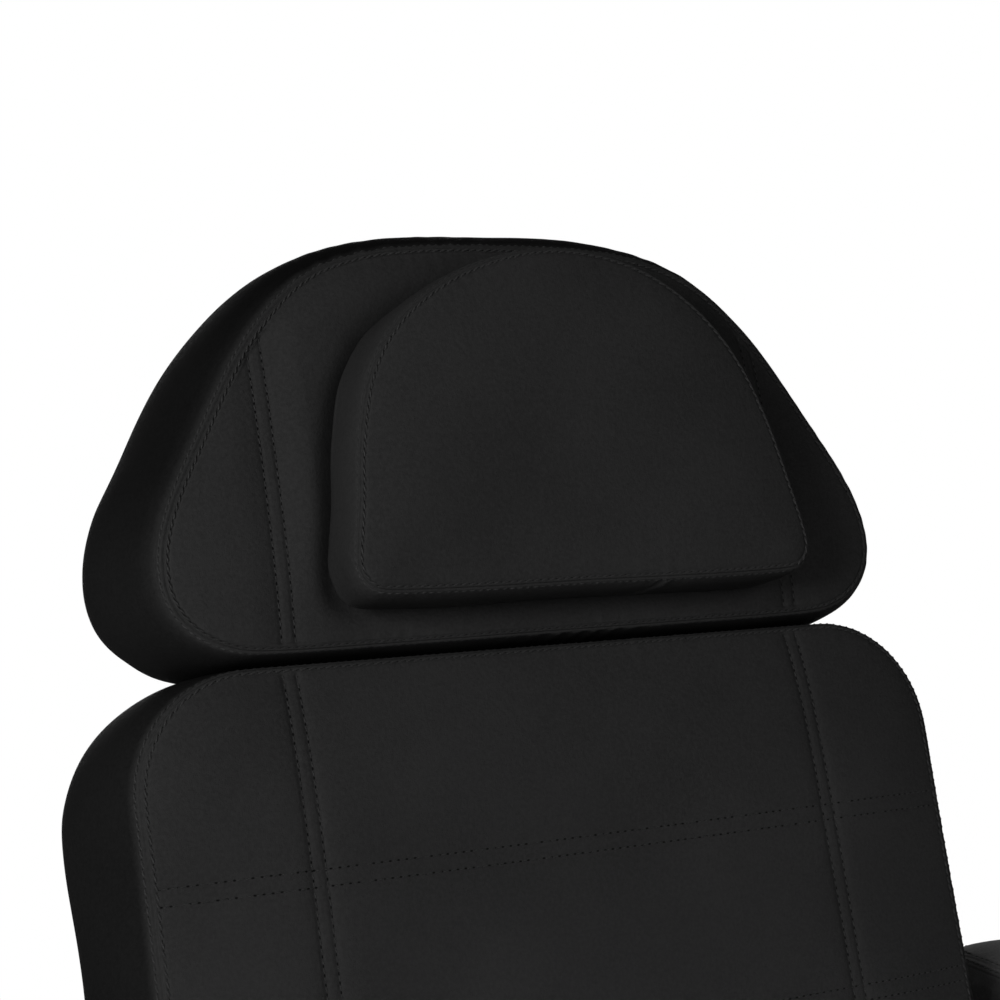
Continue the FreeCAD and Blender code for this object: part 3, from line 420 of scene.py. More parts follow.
@dataclass
class Outline:
    """A closed seam outline: four sides, from the lower left corner and round by the right."""

    line: np.ndarray
    corners: Sequence[tuple[float, float]]

    @classmethod
    def dome(cls, right: Sequence[tuple[float, float]], corners: Sequence[tuple[float, float]]) -> "Outline":
        """An outline through points of its right half, from the foot's middle up to the top's middle."""
        half = np.array(right, float)
        left = (half * np.array([-1.0, 1.0]))[-2:0:-1]
        knots = np.concatenate([half, left])
        before, after, last = np.roll(knots, 1, 0), np.roll(knots, -1, 0), np.roll(knots, -2, 0)
        steps = np.linspace(0.0, 1.0, 24, endpoint=False)[None, :, None]
        p0, p1, p2, p3 = (array[:, None, :] for array in (before, knots, after, last))
        curve = 0.5 * (2 * p1 + (p2 - p0) * steps + (2 * p0 - 5 * p1 + 4 * p2 - p3) * steps ** 2
                       + (3 * p1 - p0 - 3 * p2 + p3) * steps ** 3)
        return cls(curve.reshape(-1, 2), corners)

    @classmethod
    def box(cls, half: float, low: float, high: float, low_round: float, high_round: float,
            middle: float = 0.0, waist: float = 0.0) -> "Outline":
        """A rounded rectangle whose long sides draw in by waist."""
        points = []
        for x, y, radius, start in ((1, low, low_round, -90), (1, high, high_round, 0),
                                    (-1, high, high_round, 90), (-1, low, low_round, 180)):
            centre_x = x * (half - radius)
            centre_y = y + radius if y == low else y - radius
            for step in range(33):
                angle = math.radians(start + 90 * step / 32)
                points.append((centre_x + radius * math.cos(angle), centre_y + radius * math.sin(angle)))
        dense = even_steps(closed(np.array(points)), 1600)
        share = np.clip((dense[:, 1] - low) / (high - low), 0.0, 1.0)
        dense[:, 0] *= 1.0 - waist / half * np.sin(np.pi * share)
        dense[:, 0] += middle
        marks = [(middle - half, low), (middle + half, low), (middle + half, high), (middle - half, high)]
        return cls(dense, marks)

    def dense(self, count: int) -> np.ndarray:
        """A count of evenly spaced points on the outline."""
        return even_steps(closed(self.line), count)

    def loop(self, across: int, upward: int) -> np.ndarray:
        """The outline as points with set counts on its four sides.

        Args:
            across: steps along the foot and along the top.
            upward: steps along each upright side.

        Returns:
            Points in mm, anticlockwise from the lower left corner.
        """
        marks = [int(np.argmin(np.linalg.norm(self.line - np.array(corner), axis=1)))
                 for corner in self.corners]
        rolled = closed(np.roll(self.line, -marks[0], 0))
        stops = [(mark - marks[0]) % len(self.line) for mark in marks] + [len(self.line)]
        sides = [rolled[stops[index]:stops[index + 1] + 1] for index in range(4)]
        return np.concatenate([even_steps(side, count)
                               for side, count in zip(sides, (across, upward, across, upward))])


def outward_of(loop: np.ndarray) -> np.ndarray:
    """Outward directions at the points of an anticlockwise loop."""
    along = np.roll(loop, -1, 0) - np.roll(loop, 1, 0)
    normal = np.stack([along[:, 1], -along[:, 0]], 1)
    return normal / np.linalg.norm(normal, axis=1)[:, None]


def patch(loop: np.ndarray, across: int, upward: int) -> np.ndarray:
    """A grid of points spread inside a loop between its four sides."""
    total = 2 * (across + upward)
    foot = loop[:across + 1]
    right = loop[across:across + upward + 1]
    top = loop[across + upward:2 * across + upward + 1][::-1]
    left = loop[[(total - step) % total for step in range(upward + 1)]]
    s = np.linspace(0.0, 1.0, across + 1)[None, :, None]
    t = np.linspace(0.0, 1.0, upward + 1)[:, None, None]
    ends = ((1 - s) * (1 - t) * foot[0] + s * (1 - t) * foot[-1] + s * t * top[-1] + (1 - s) * t * top[0])
    return (1 - t) * foot[None] + t * top[None] + (1 - s) * left[:, None] + s * right[:, None] - ends


# ---- padded pieces


# How a boxing strip bulges from the seam (0) down to the board (1)
BULGE_DOWN = (0.0, 0.05, 0.12, 0.22, 0.34, 0.46, 0.60, 0.74, 0.86, 0.94, 1.0)
BULGE_OUT = (0.0, 0.25, 0.50, 0.76, 0.91, 0.98, 1.0, 0.99, 0.92, 0.76, 0.42)
REAR_OUT = (0.0, 0.0, 0.0, 0.03, 0.15, 0.45, 0.80, 1.0, 1.0, 0.85, 0.50)
SEAM_RINGS = (1.3, 3.0, 6.5)
SIDE_STEPS = (0.14, 0.22, 0.32, 0.43, 0.54, 0.65, 0.76, 0.86, 0.94, 1.0)
SHOULDER_WIDTH = 38.0
# Seam distance that marks the underside, beyond any on the boxing
UNDERSIDE = 40.0
# Points that are compared with an outline at one time, to save memory
CHUNK = 4000
# Points along a stitched line of a face, before it is laid on the skin
LINE_POINTS = 900
# The leather as cloth under the foam's pressure
CLOTH = {"quality": 6, "mass": 0.4, "tension_stiffness": 22.0, "compression_stiffness": 22.0,
         "bending_stiffness": 2.5, "use_pressure": True, "uniform_pressure_force": 4.0}
CLOTH_FRAMES = 20
# What is pressed into the skin, as depth and width in mm; the seam's depths are shares of the welt
SEAM_GROOVE, STITCH_GROOVE, SEAM_RIDGE, RIDGE_SHARE = (1.0, 0.8), (0.55, 0.9), (0.34, 0.8), 0.52
FACE_BEGINS, BOXING_ENDS = (1.5, 6.0), (-4.0, -2.0)
RIPPLE_REACH, RIPPLE_DEPTH, RIPPLE_FADES = 40.0, 0.16, (1.5, 11.0)
STRIP_GROOVE, STRIP_RIDGE = (0.6, 1.9), (0.6, 3.6)
ROW_GROOVE = (0.30, 1.4)
JOIN_GROOVE, JOIN_RIDGE, JOIN_RIDGE_OFF = (1.0, 1.6), (0.5, 4.0), 5.0
HOLLOW_DEPTH, HOLLOW_INSET, HOLLOW_WIDTH, HOLLOW_WIDER = 9.5, 5.5, 12.0, 5.0
PUFF = 4.5
# The rope-like thread of the seams, as stitches
SEAM_STITCH = {"length": 1.0, "thick": 0.72, "slant": 18.0, "hole": 0.4}
# How far before and behind its middle a stitch takes its direction from, in m
AIM = 0.0012
# One stitch: how its strand tapers, rises and goes in, and its needle hole's shape
STRAND_TAPER, STRAND_RISE, STRAND_FALL = 0.45, 0.28, 0.62
HOLE_LONG, HOLE_WIDE, HOLE_RIM, HOLE_PIT, HOLE_SIDES = 1.35, 0.8, 0.07, 0.02, 8


@dataclass
class Pucker:
    """A run of small gathers beside a seam."""

    middle: tuple[float, float]
    reach: float
    pitch: float
    depth: float
    fade: float = 16.0


@dataclass
class PaddedPiece:
    """A foam pad in sewn leather: boxing, seam, crowned face, stitched channels and rows."""

    name: str
    body: str
    node: str
    lie: Lie
    outline: Outline
    floor: float
    seam: float
    crown: float
    # Rows by the outline's angle: bulge in front and behind, lean in mm, share and reach of the face's tone
    # that the painted shade on the boxing leaves
    bulge: Sequence[tuple[float, float, float]]
    across: int
    upward: int
    soft: float = 30.0
    roll: float = 8.5
    edge: float = 0.5
    swell: float = 5.0
    channel: float = 0.0
    channel_end: float = 1e6
    rows: Sequence[float] = ()
    joins: Sequence[tuple[float, float, float]] = ()
    puckers: Sequence[Pucker] = ()
    levels: int = 2
    fill: float = 0.85
    stitch: float = 5.4
    channel_gap: float = 8.8
    row_gap: float = 10.0
    seam_gap: float = 5.4
    look: Look = Look.LEATHER
    ease: float = 0.45
    welt: float = 1.0
    shoulder: tuple[float, float] = (0.0, 0.0)
    nose: tuple[float, float] = (0.0, 0.0)
    dent: Outline | None = None
    dip: tuple[float, float] = (1.7, 8.5)
    lean: Sequence[tuple[float, float]] = ((-90, 0.0), (90, 0.0))
    # Painted shade: by default the boxing falls to about a third of the face's tone within 7 mm of the seam
    bands: Sequence[tuple[float, float, float]] = ((-90, 0.36, 7.0), (90, 0.36, 7.0))
    sag: float = 0.0
    obj: bpy.types.Object = field(default=None, init=False)

    def stand_out(self, level: float, outward: np.ndarray, v: np.ndarray) -> np.ndarray:
        """How far the boxing stands out at a depth.

        Args:
            level: depth from the seam (0) to the underside (1).
            outward: outward directions along the outline.
            v: places along the piece, in mm.

        Returns:
            The distance from the outline at each of its points, in mm.
        """
        front, rear = by_angle(self.bulge, outward)
        puff = 1.0 + self.shoulder[1] * mound(v - self.shoulder[0], SHOULDER_WIDTH)
        return (np.interp(level, BULGE_DOWN, BULGE_OUT) * front - level * by_angle(self.lean, outward)[0]
                + np.interp(level, BULGE_DOWN, REAR_OUT) * rear * puff)

    def painted_shade_at(self, depth: float, outward: np.ndarray) -> np.ndarray:
        """Share of the leather's tone left on the boxing by painted shade, which darkens it from the seam
        downwards by an amount set round the outline.

        Args:
            depth: depth below the seam, in mm.
            outward: outward directions along the outline.

        Returns:
            The share at each point of the outline.
        """
        share, reach = by_angle(self.bands, outward)
        return share + (1.0 - share) * (1.0 - smooth_step(0.08, 1.0, depth / reach))

    def face_height(self, points: np.ndarray) -> np.ndarray:
        """Height of the crowned face above the seam, by the distance from the seam."""
        gap = self.seam_distance(points)
        return self.crown * (1.0 - (1.0 - self.edge) * np.exp(-gap / self.soft)
                             - self.edge * np.exp(-gap / self.roll))

    def seam_distance(self, points: np.ndarray) -> np.ndarray:
        """Distance of points of the face from the seam's outline."""
        line = self.outline.dense(700)
        nearest = np.empty(len(points))
        for start in range(0, len(points), CHUNK):
            part = points[start:start + CHUNK]
            nearest[start:start + CHUNK] = np.sqrt(((part[:, None, :] - line[None]) ** 2).sum(2)).min(1)
        return nearest

    def shell(self) -> tuple[np.ndarray, np.ndarray, np.ndarray, list[tuple[int, ...]]]:
        """The pad's sewn skin before it is filled.

        Returns:
            Local points in mm, each point's distance from the seam (negative on the boxing), the share of
            the leather's tone left by the painted shade on the boxing and underside, and the faces.
        """
        loop = self.outline.loop(self.across, self.upward)
        outward = outward_of(loop)
        count = len(loop)
        drop = self.seam - self.floor
        levels = [ring / drop for ring in SEAM_RINGS] + list(SIDE_STEPS)
        rings, gaps, ring_shades = [], [], []
        for level in reversed(levels):
            out = self.stand_out(level, outward, loop[:, 1])
            flat = loop + outward * out[:, None]
            rings.append(np.column_stack([flat, np.full(count, self.seam - level * drop)]))
            gaps.append(np.full(count, -level * drop))
            ring_shades.append(self.painted_shade_at(level * drop, outward))
        rings.append(np.column_stack([loop, np.full(count, self.seam)]))
        gaps.append(np.zeros(count))
        for inset in SEAM_RINGS:
            flat = loop - outward * inset
            rings.append(np.column_stack([flat, self.seam + self.face_height(flat)]))
            gaps.append(np.full(count, inset))
        faces = []
        for ring in range(len(rings) - 1):
            low, high = ring * count, (ring + 1) * count
            for step in range(count):
                after = (step + 1) % count
                faces.append((low + step, low + after, high + after, high + step))
        points, distances = np.concatenate(rings), np.concatenate(gaps)
        last = (len(rings) - 1) * count
        points, distances, faces = self._close(points, distances, faces, last, True)
        points, distances, faces = self._close(points, distances, faces, 0, False)
        # Painted shade: the boxing rings and the underside get less of the leather's tone than the face
        shade = np.ones(len(points))
        shade[:len(ring_shades) * count] = np.concatenate(ring_shades)
        shade[distances < self.floor - self.seam - 1.0] = ring_shades[0].mean()
        return self.round_ends(points), distances, shade, faces

    def round_ends(self, points: np.ndarray) -> np.ndarray:
        """Round the ends over, as on a bull-nosed pad."""
        length, depth = self.nose
        if not length:
            return points
        v = points[:, 1]
        near = np.clip(1.0 - np.minimum(v - v.min(), v.max() - v) / length, 0.0, 1.0)
        fall = depth * (1.0 - np.sqrt(1.0 - near ** 2))
        points[:, 2] -= fall * np.clip((points[:, 2] - self.floor) / (self.seam - self.floor), 0.0, 1.0)
        return points

    def _close(self, points: np.ndarray, distances: np.ndarray, faces: list, first: int,
               upper: bool) -> tuple[np.ndarray, np.ndarray, list]:
        """Fill the face's or the underside's ring with a grid."""
        across, upward = self.across, self.upward
        total = 2 * (across + upward)
        grid = patch(points[first:first + total, :2], across, upward)
        index = np.empty((upward + 1, across + 1), int)
        index[0] = first + np.arange(across + 1)
        index[:, across] = first + across + np.arange(upward + 1)
        index[upward] = first + across + upward + np.arange(across, -1, -1)
        index[:, 0] = first + (total - np.arange(upward + 1)) % total
        inner = grid[1:-1, 1:-1].reshape(-1, 2)
        index[1:-1, 1:-1] = len(points) + np.arange(len(inner)).reshape(upward - 1, across - 1)
        if upper:
            height, gap = self.seam + self.face_height(inner), self.seam_distance(inner)
        else:
            height, gap = (np.full(len(inner), level)
                           for level in (self.floor, self.floor - self.seam - UNDERSIDE))
        points = np.concatenate([points, np.column_stack([inner, height])])
        distances = np.concatenate([distances, gap])
        for row in range(upward):
            for step in range(across):
                face = (*index[row, step:step + 2], *index[row + 1, step:step + 2][::-1])
                faces.append(face if upper else face[::-1])
        return points, distances, faces

    def build(self) -> None:
        """Make the pad: fill the skin, press in seams, channels and gathers, and lay the thread."""
        points, distances, shade, faces = self.shell()
        mesh = bpy.data.meshes.new(self.name)
        mesh.from_pydata(self.lie.world(points).tolist(), [], [tuple(map(int, face)) for face in faces])
        # The second attribute carries the painted shade on the boxing
        for label, values in (("seam_distance", distances), ("boxing_painted_shade", shade)):
            mesh.attributes.new(label, "FLOAT", "POINT").data.foreach_set("value", values.astype(np.float32))
        self.obj = bpy.data.objects.new(self.name, mesh)
        bpy.context.scene.collection.objects.link(self.obj)
        make_active(self.obj)
        self.fill_with_foam(distances)
        skin = self.obj.modifiers.new("skin", "SUBSURF")
        skin.levels = skin.render_levels = self.levels
        bpy.ops.object.modifier_apply(modifier=skin.name)
        self.refine()
        self.press()
        self.thin()
        bpy.ops.object.shade_smooth()
        self.obj.data.materials.append(self.look.material())
        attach(self.obj, self.body)
        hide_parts(self.node)
        log.info("%s: %d faces", self.name, len(self.obj.data.polygons))
        self.sew()

    def fill_with_foam(self, distances: np.ndarray) -> None:
        """Swell the skin by pressure as cloth, held at its seam and underside."""
        mesh = self.obj.data
        before = read(mesh.vertices, "co")
        held = self.obj.vertex_groups.new(name="held")
        fixed = (np.abs(distances) <= SEAM_RINGS[1]) | (distances < self.floor - self.seam + 2.0)
        held.add(np.flatnonzero(fixed).tolist(), 1.0, "REPLACE")
        cloth = self.obj.modifiers.new("foam", "CLOTH")
        for key, value in CLOTH.items():
            setattr(cloth.settings, key, value)
        cloth.settings.vertex_group_mass = held.name
        cloth.settings.effector_weights.gravity = 0.0
        cloth.collision_settings.use_collision = False
        for step in range(1, CLOTH_FRAMES + 1):
            bpy.context.scene.frame_set(step)
        swollen = self.obj.evaluated_get(bpy.context.evaluated_depsgraph_get()).to_mesh()
        move = read(swollen.vertices, "co") - before
        self.obj.modifiers.remove(cloth)
        bpy.context.scene.frame_set(1)
        far = np.linalg.norm(move, axis=1)
        cap = self.swell * MM
        move *= (cap * np.tanh(far / cap) / np.maximum(far, 1e-9))[:, None]
        mesh.vertices.foreach_set("co", (before + move).ravel())
        mesh.update()
        self.obj.vertex_groups.remove(held)
        log.info("%s: foam swells it by up to %.1f mm", self.name, far.max() / MM)

    def refine(self, reach: float = 10.0) -> None:
        """Divide the faces along the sewn channels, so that these can be pressed in crisply."""
        if not self.channel:
            return
        mesh = self.obj.data
        u, v, w = self.lie.local(read(mesh.polygons, "center")).T
        near = np.abs(np.abs(u) - self.channel) < reach
        near &= (w > self.seam - 1.0) & (v < self.channel_end + 14.0)
        mesh.polygons.foreach_set("select", near)
        make_active(self.obj)
        bpy.ops.object.mode_set(mode="EDIT")
        bpy.ops.mesh.select_mode(type="FACE")
        bpy.ops.mesh.subdivide(number_cuts=2)
        bpy.ops.object.mode_set(mode="OBJECT")

    def thin(self, most: int = 290000) -> None:
        """Collapse the skin's flattest faces where it has more triangles than its shape needs."""
        mesh = self.obj.data
        triangles = len(mesh.loops) - 2 * len(mesh.polygons)
        if triangles <= most:
            return
        make_active(self.obj)
        fewer = self.obj.modifiers.new("fewer", "DECIMATE")
        fewer.ratio = most / triangles
        bpy.ops.object.modifier_apply(modifier=fewer.name)

    def seam_run(self, u: np.ndarray, v: np.ndarray, near: np.ndarray) -> np.ndarray:
        """How far along the seam each point near it lies, in mm; 0 for the others."""
        line = self.outline.dense(1500)
        step = np.linalg.norm(line[1] - line[0])
        tree = nearest_tree(line)
        run = np.zeros(len(u))
        for index in np.flatnonzero(near):
            run[index] = tree.find((u[index], v[index], 0.0))[1] * step
        return run

    def press(self) -> None:
        """Press the seam, the sewn channels, the rows and the gathers into the skin."""
        mesh = self.obj.data
        place, normal = read(mesh.vertices, "co"), read(mesh.vertices, "normal")
        gap = np.empty(len(place), np.float32)
        mesh.attributes["seam_distance"].data.foreach_get("value", gap)
        u, v, w = self.lie.local(place).T
        sink = self.press_seam(u, v, gap)
        face = smooth_step(*FACE_BEGINS, gap)
        if self.channel:
            self.press_channels(sink, face, u, v)
        if self.dent is not None:
            self.press_hollow(sink, face, gap, u, v)
        for row in self.rows:
            for side in (-1, 1):
                level = row + self.sag_at(u) + side * self.row_gap / 2
                sink -= face * ROW_GROOVE[0] * mound(v - level, ROW_GROOVE[1])
        for pucker in self.puckers:
            sink += self.gather(pucker, u, v, gap)
        for place_u, reach, lean in self.joins:
            boxing = (1.0 - smooth_step(*BOXING_ENDS, gap)) * (v < self.outline.line[:, 1].min() + reach)
            off = u - place_u - lean * gap
            sink -= boxing * JOIN_GROOVE[0] * mound(off, JOIN_GROOVE[1])
            sink += boxing * JOIN_RIDGE[0] * mound(off - JOIN_RIDGE_OFF, JOIN_RIDGE[1])
        # Shallow waves of mixed lengths, as leather has over foam, away from the seam and the underside
        ease = smooth_step(3.0, 30.0, np.abs(gap)) * (gap > self.floor - self.seam + 6.0)
        sink += ease * self.ease * (np.sin(u / 31.0 + v / 47.0) * np.sin(v / 29.0 - w / 23.0)
                                    + 0.6 * np.sin(u / 17.0 - v / 21.0 + w / 15.0))
        place += normal * (sink * MM)[:, None]
        mesh.vertices.foreach_set("co", place.ravel())
        mesh.update()

    def press_seam(self, u: np.ndarray, v: np.ndarray, gap: np.ndarray) -> np.ndarray:
        """The seam's groove, its two rows of stitches with a ridge beside each, and ripples along it.

        Args:
            u, v: places across and along the piece, in mm.
            gap: distances from the seam, negative on the boxing.

        Returns:
            How far each point moves out of the skin, in mm.
        """
        half = self.seam_gap / 2
        sink = -SEAM_GROOVE[0] * self.welt * mound(gap, SEAM_GROOVE[1])
        for side in (-1, 1):
            sink -= STITCH_GROOVE[0] * self.welt * mound(gap - side * half, STITCH_GROOVE[1])
            sink += SEAM_RIDGE[0] * self.welt * mound(gap - side * half * RIDGE_SHARE, SEAM_RIDGE[1])
        near = np.abs(gap) < RIPPLE_REACH
        run = self.seam_run(u, v, near)
        # Ripples of mixed lengths that come and go along the seam
        wave = (np.sin(run * 0.57 + 2.0 * np.sin(run / 41.0)) + 0.8 * np.sin(run * 0.36 + 1.0)
                + 0.6 * np.sin(run * 0.23 + 1.7 * np.sin(run / 67.0)))
        where = 0.5 + 0.5 * np.sin(run / 37.0 + 1.4 * np.sin(run / 91.0))
        rise, fade = (np.exp(-np.abs(gap) / length) for length in RIPPLE_FADES)
        sink += near * RIPPLE_DEPTH * where * wave * (fade - rise)
        return sink

    def press_channels(self, sink: np.ndarray, face: np.ndarray, u: np.ndarray, v: np.ndarray) -> None:
        """Press in the channels: a wide dip with two rows of stitches and a ridge between them.

        Args:
            sink: how far each point moves out of the skin, which is added to.
            face: 1 on the face, 0 on the boxing.
            u, v: places across and along the piece, in mm.
        """
        inside = face * (1.0 - smooth_step(self.channel_end - 4.0, self.channel_end, v))
        off = np.abs(np.abs(u) - self.channel)
        sink -= inside * self.dip[0] * mound(off, self.dip[1])
        sink -= inside * STRIP_GROOVE[0] * mound(off - self.channel_gap / 2, STRIP_GROOVE[1])
        sink += inside * STRIP_RIDGE[0] * np.exp(-(off / STRIP_RIDGE[1]) ** 4)

    def press_hollow(self, sink: np.ndarray, face: np.ndarray, gap: np.ndarray, u: np.ndarray,
                     v: np.ndarray) -> None:
        """Press in the hollow round what lies on the face, wider at its top, and puff up what it leaves.

        Args:
            sink: how far each point moves out of the skin, which is added to.
            face: 1 on the face, 0 on the boxing.
            gap: distances from the seam, negative on the boxing.
            u, v: places across and along the piece, in mm.
        """
        reach = Inside(self.dent, 0.0).signed(np.column_stack([u, v]))
        low, high = self.dent.line[:, 1].min(), self.dent.line[:, 1].max()
        width = HOLLOW_WIDTH + HOLLOW_WIDER * smooth_step(high - 60.0, high, v)
        sink -= face * HOLLOW_DEPTH * mound(reach + HOLLOW_INSET, width)
        sink += (PUFF * smooth_step(-self.channel - 2.0, 28.0 - self.channel, -np.abs(u))
                 * smooth_step(-30.0, -6.0, reach) * smooth_step(2.0, 28.0, gap)
                 * smooth_step(low - 5.0, low + 30.0, v))

    @staticmethod
    def gather(pucker: Pucker, u: np.ndarray, v: np.ndarray, gap: np.ndarray) -> np.ndarray:
        """Small folds that run down the boxing from the seam and fade out."""
        off_u, off_v = u - pucker.middle[0], v - pucker.middle[1]
        near = np.exp(-(off_u ** 2 + off_v ** 2) / pucker.reach ** 2)
        boxing = np.exp(np.minimum(gap, 0.0) / pucker.fade) * (gap < -1.5)
        wave = np.sin(off_u * 2 * np.pi / pucker.pitch + np.sin(off_u / 13.0) + gap / 15.0)
        return pucker.depth * near * boxing * wave

    def seam_lines(self) -> list[np.ndarray]:
        """The two rows of stitches beside the seam, in local mm."""
        dense = self.outline.dense(1200)
        outward = outward_of(dense)
        half = self.seam_gap / 2
        inner = dense - outward * half
        face = np.column_stack([inner, self.seam + self.face_height(inner)])
        drop = self.seam - self.floor
        out = self.stand_out(half / drop, outward, dense[:, 1])
        side = np.column_stack([dense + outward * out[:, None], np.full(len(dense), self.seam - half)])
        return [closed(face), closed(side)]

    def face_lines(self) -> list[np.ndarray]:
        """The stitched channels and rows on the face, in local mm."""
        high = self.seam + self.crown + 40.0
        line = self.outline.line
        lines = []
        low, top = line[:, 1].min() + 1.0, min(line[:, 1].max() - 1.0, self.channel_end + 60.0)
        if self.channel:
            for side in (-1, 1):
                for strip in (-1, 1):
                    along = np.linspace(low, top, LINE_POINTS)
                    at_u = np.full(LINE_POINTS, side * self.channel + strip * self.channel_gap / 2)
                    lines.append(np.column_stack([at_u, along, np.full(LINE_POINTS, high)]))
        half = np.abs(line[:, 0]).max()
        for row in self.rows:
            for side in (-1, 1):
                across = np.linspace(-half, half, LINE_POINTS)
                level = row + self.sag_at(across) + side * self.row_gap / 2
                lines.append(np.column_stack([across, level, np.full(LINE_POINTS, high)]))
        return lines

    def sag_at(self, u: np.ndarray) -> np.ndarray:
        """How far the rows hang down towards the middle of the face, in mm."""
        half = np.abs(self.outline.line[:, 0]).max()
        return -self.sag * (1.0 - np.minimum((u / half) ** 2, 1.0))

    def sew(self) -> None:
        """Lay the thread: one small stitch after another along every sewn line."""
        tree = BVHTree.FromObject(self.obj, bpy.context.evaluated_depsgraph_get())
        outward = self.lie.outward()
        paths = []
        for line in self.seam_lines():
            hits = [tree.find_nearest(Vector(point)) for point in self.lie.world(line)]
            paths.append([(hit[0], hit[1]) for hit in hits])
        seams = len(paths)
        inside = Inside(self.outline)
        for line in self.face_lines():
            keep = inside.test(line[:, :2])
            path = []
            for point, good in zip(self.lie.world(line), keep):
                hit = tree.ray_cast(Vector(point), -outward) if good else (None,)
                if hit[0] is not None:
                    path.append((hit[0], hit[1]))
            if len(path) > 2:
                paths.append(path)
        name = self.name.replace("_pad", "")
        Stitches(name + "_seam_thread", self.stitch, **SEAM_STITCH).lay(paths[:seams], self.body)
        if len(paths) > seams:
            Stitches(name + "_row_thread", self.stitch).lay(paths[seams:], self.body)


class Inside:
    """Tests which points lie inside a closed outline, a little in from it."""

    def __init__(self, outline: Outline, margin: float = 4.0) -> None:
        """Keep the outline as close points, and the margin."""
        self.line = outline.dense(1800)
        self.tree = nearest_tree(self.line)
        self.margin = margin

    def test(self, points: np.ndarray) -> np.ndarray:
        """True for points inside the outline by the margin."""
        start, end = self.line[::4], np.roll(self.line[::4], -1, 0)
        rise = np.where(end[:, 1] == start[:, 1], 1e-9, end[:, 1] - start[:, 1])
        inside = np.empty(len(points), bool)
        for first in range(0, len(points), CHUNK):
            x, y = points[first:first + CHUNK, :1], points[first:first + CHUNK, 1:2]
            spans = (start[:, 1] > y) != (end[:, 1] > y)
            cross = start[:, 0] + (y - start[:, 1]) / rise * (end[:, 0] - start[:, 0])
            inside[first:first + CHUNK] = ((x < cross) & spans).sum(1) % 2 == 1
        return inside & (self.distance(points) > self.margin)

    def signed(self, points: np.ndarray) -> np.ndarray:
        """Distance of points outwards from the outline, in mm, negative inside it."""
        return self.distance(points) * np.where(self.test(points), -1.0, 1.0)

    def distance(self, points: np.ndarray) -> np.ndarray:
        """Distance of points from the outline, in mm."""
        return np.array([self.tree.find((x, y, 0.0))[2] for x, y in points])


def make_active(obj: bpy.types.Object) -> None:
    """Select one object alone and make it active."""
    bpy.ops.object.select_all(action="DESELECT")
    obj.select_set(True)
    bpy.context.view_layer.objects.active = obj


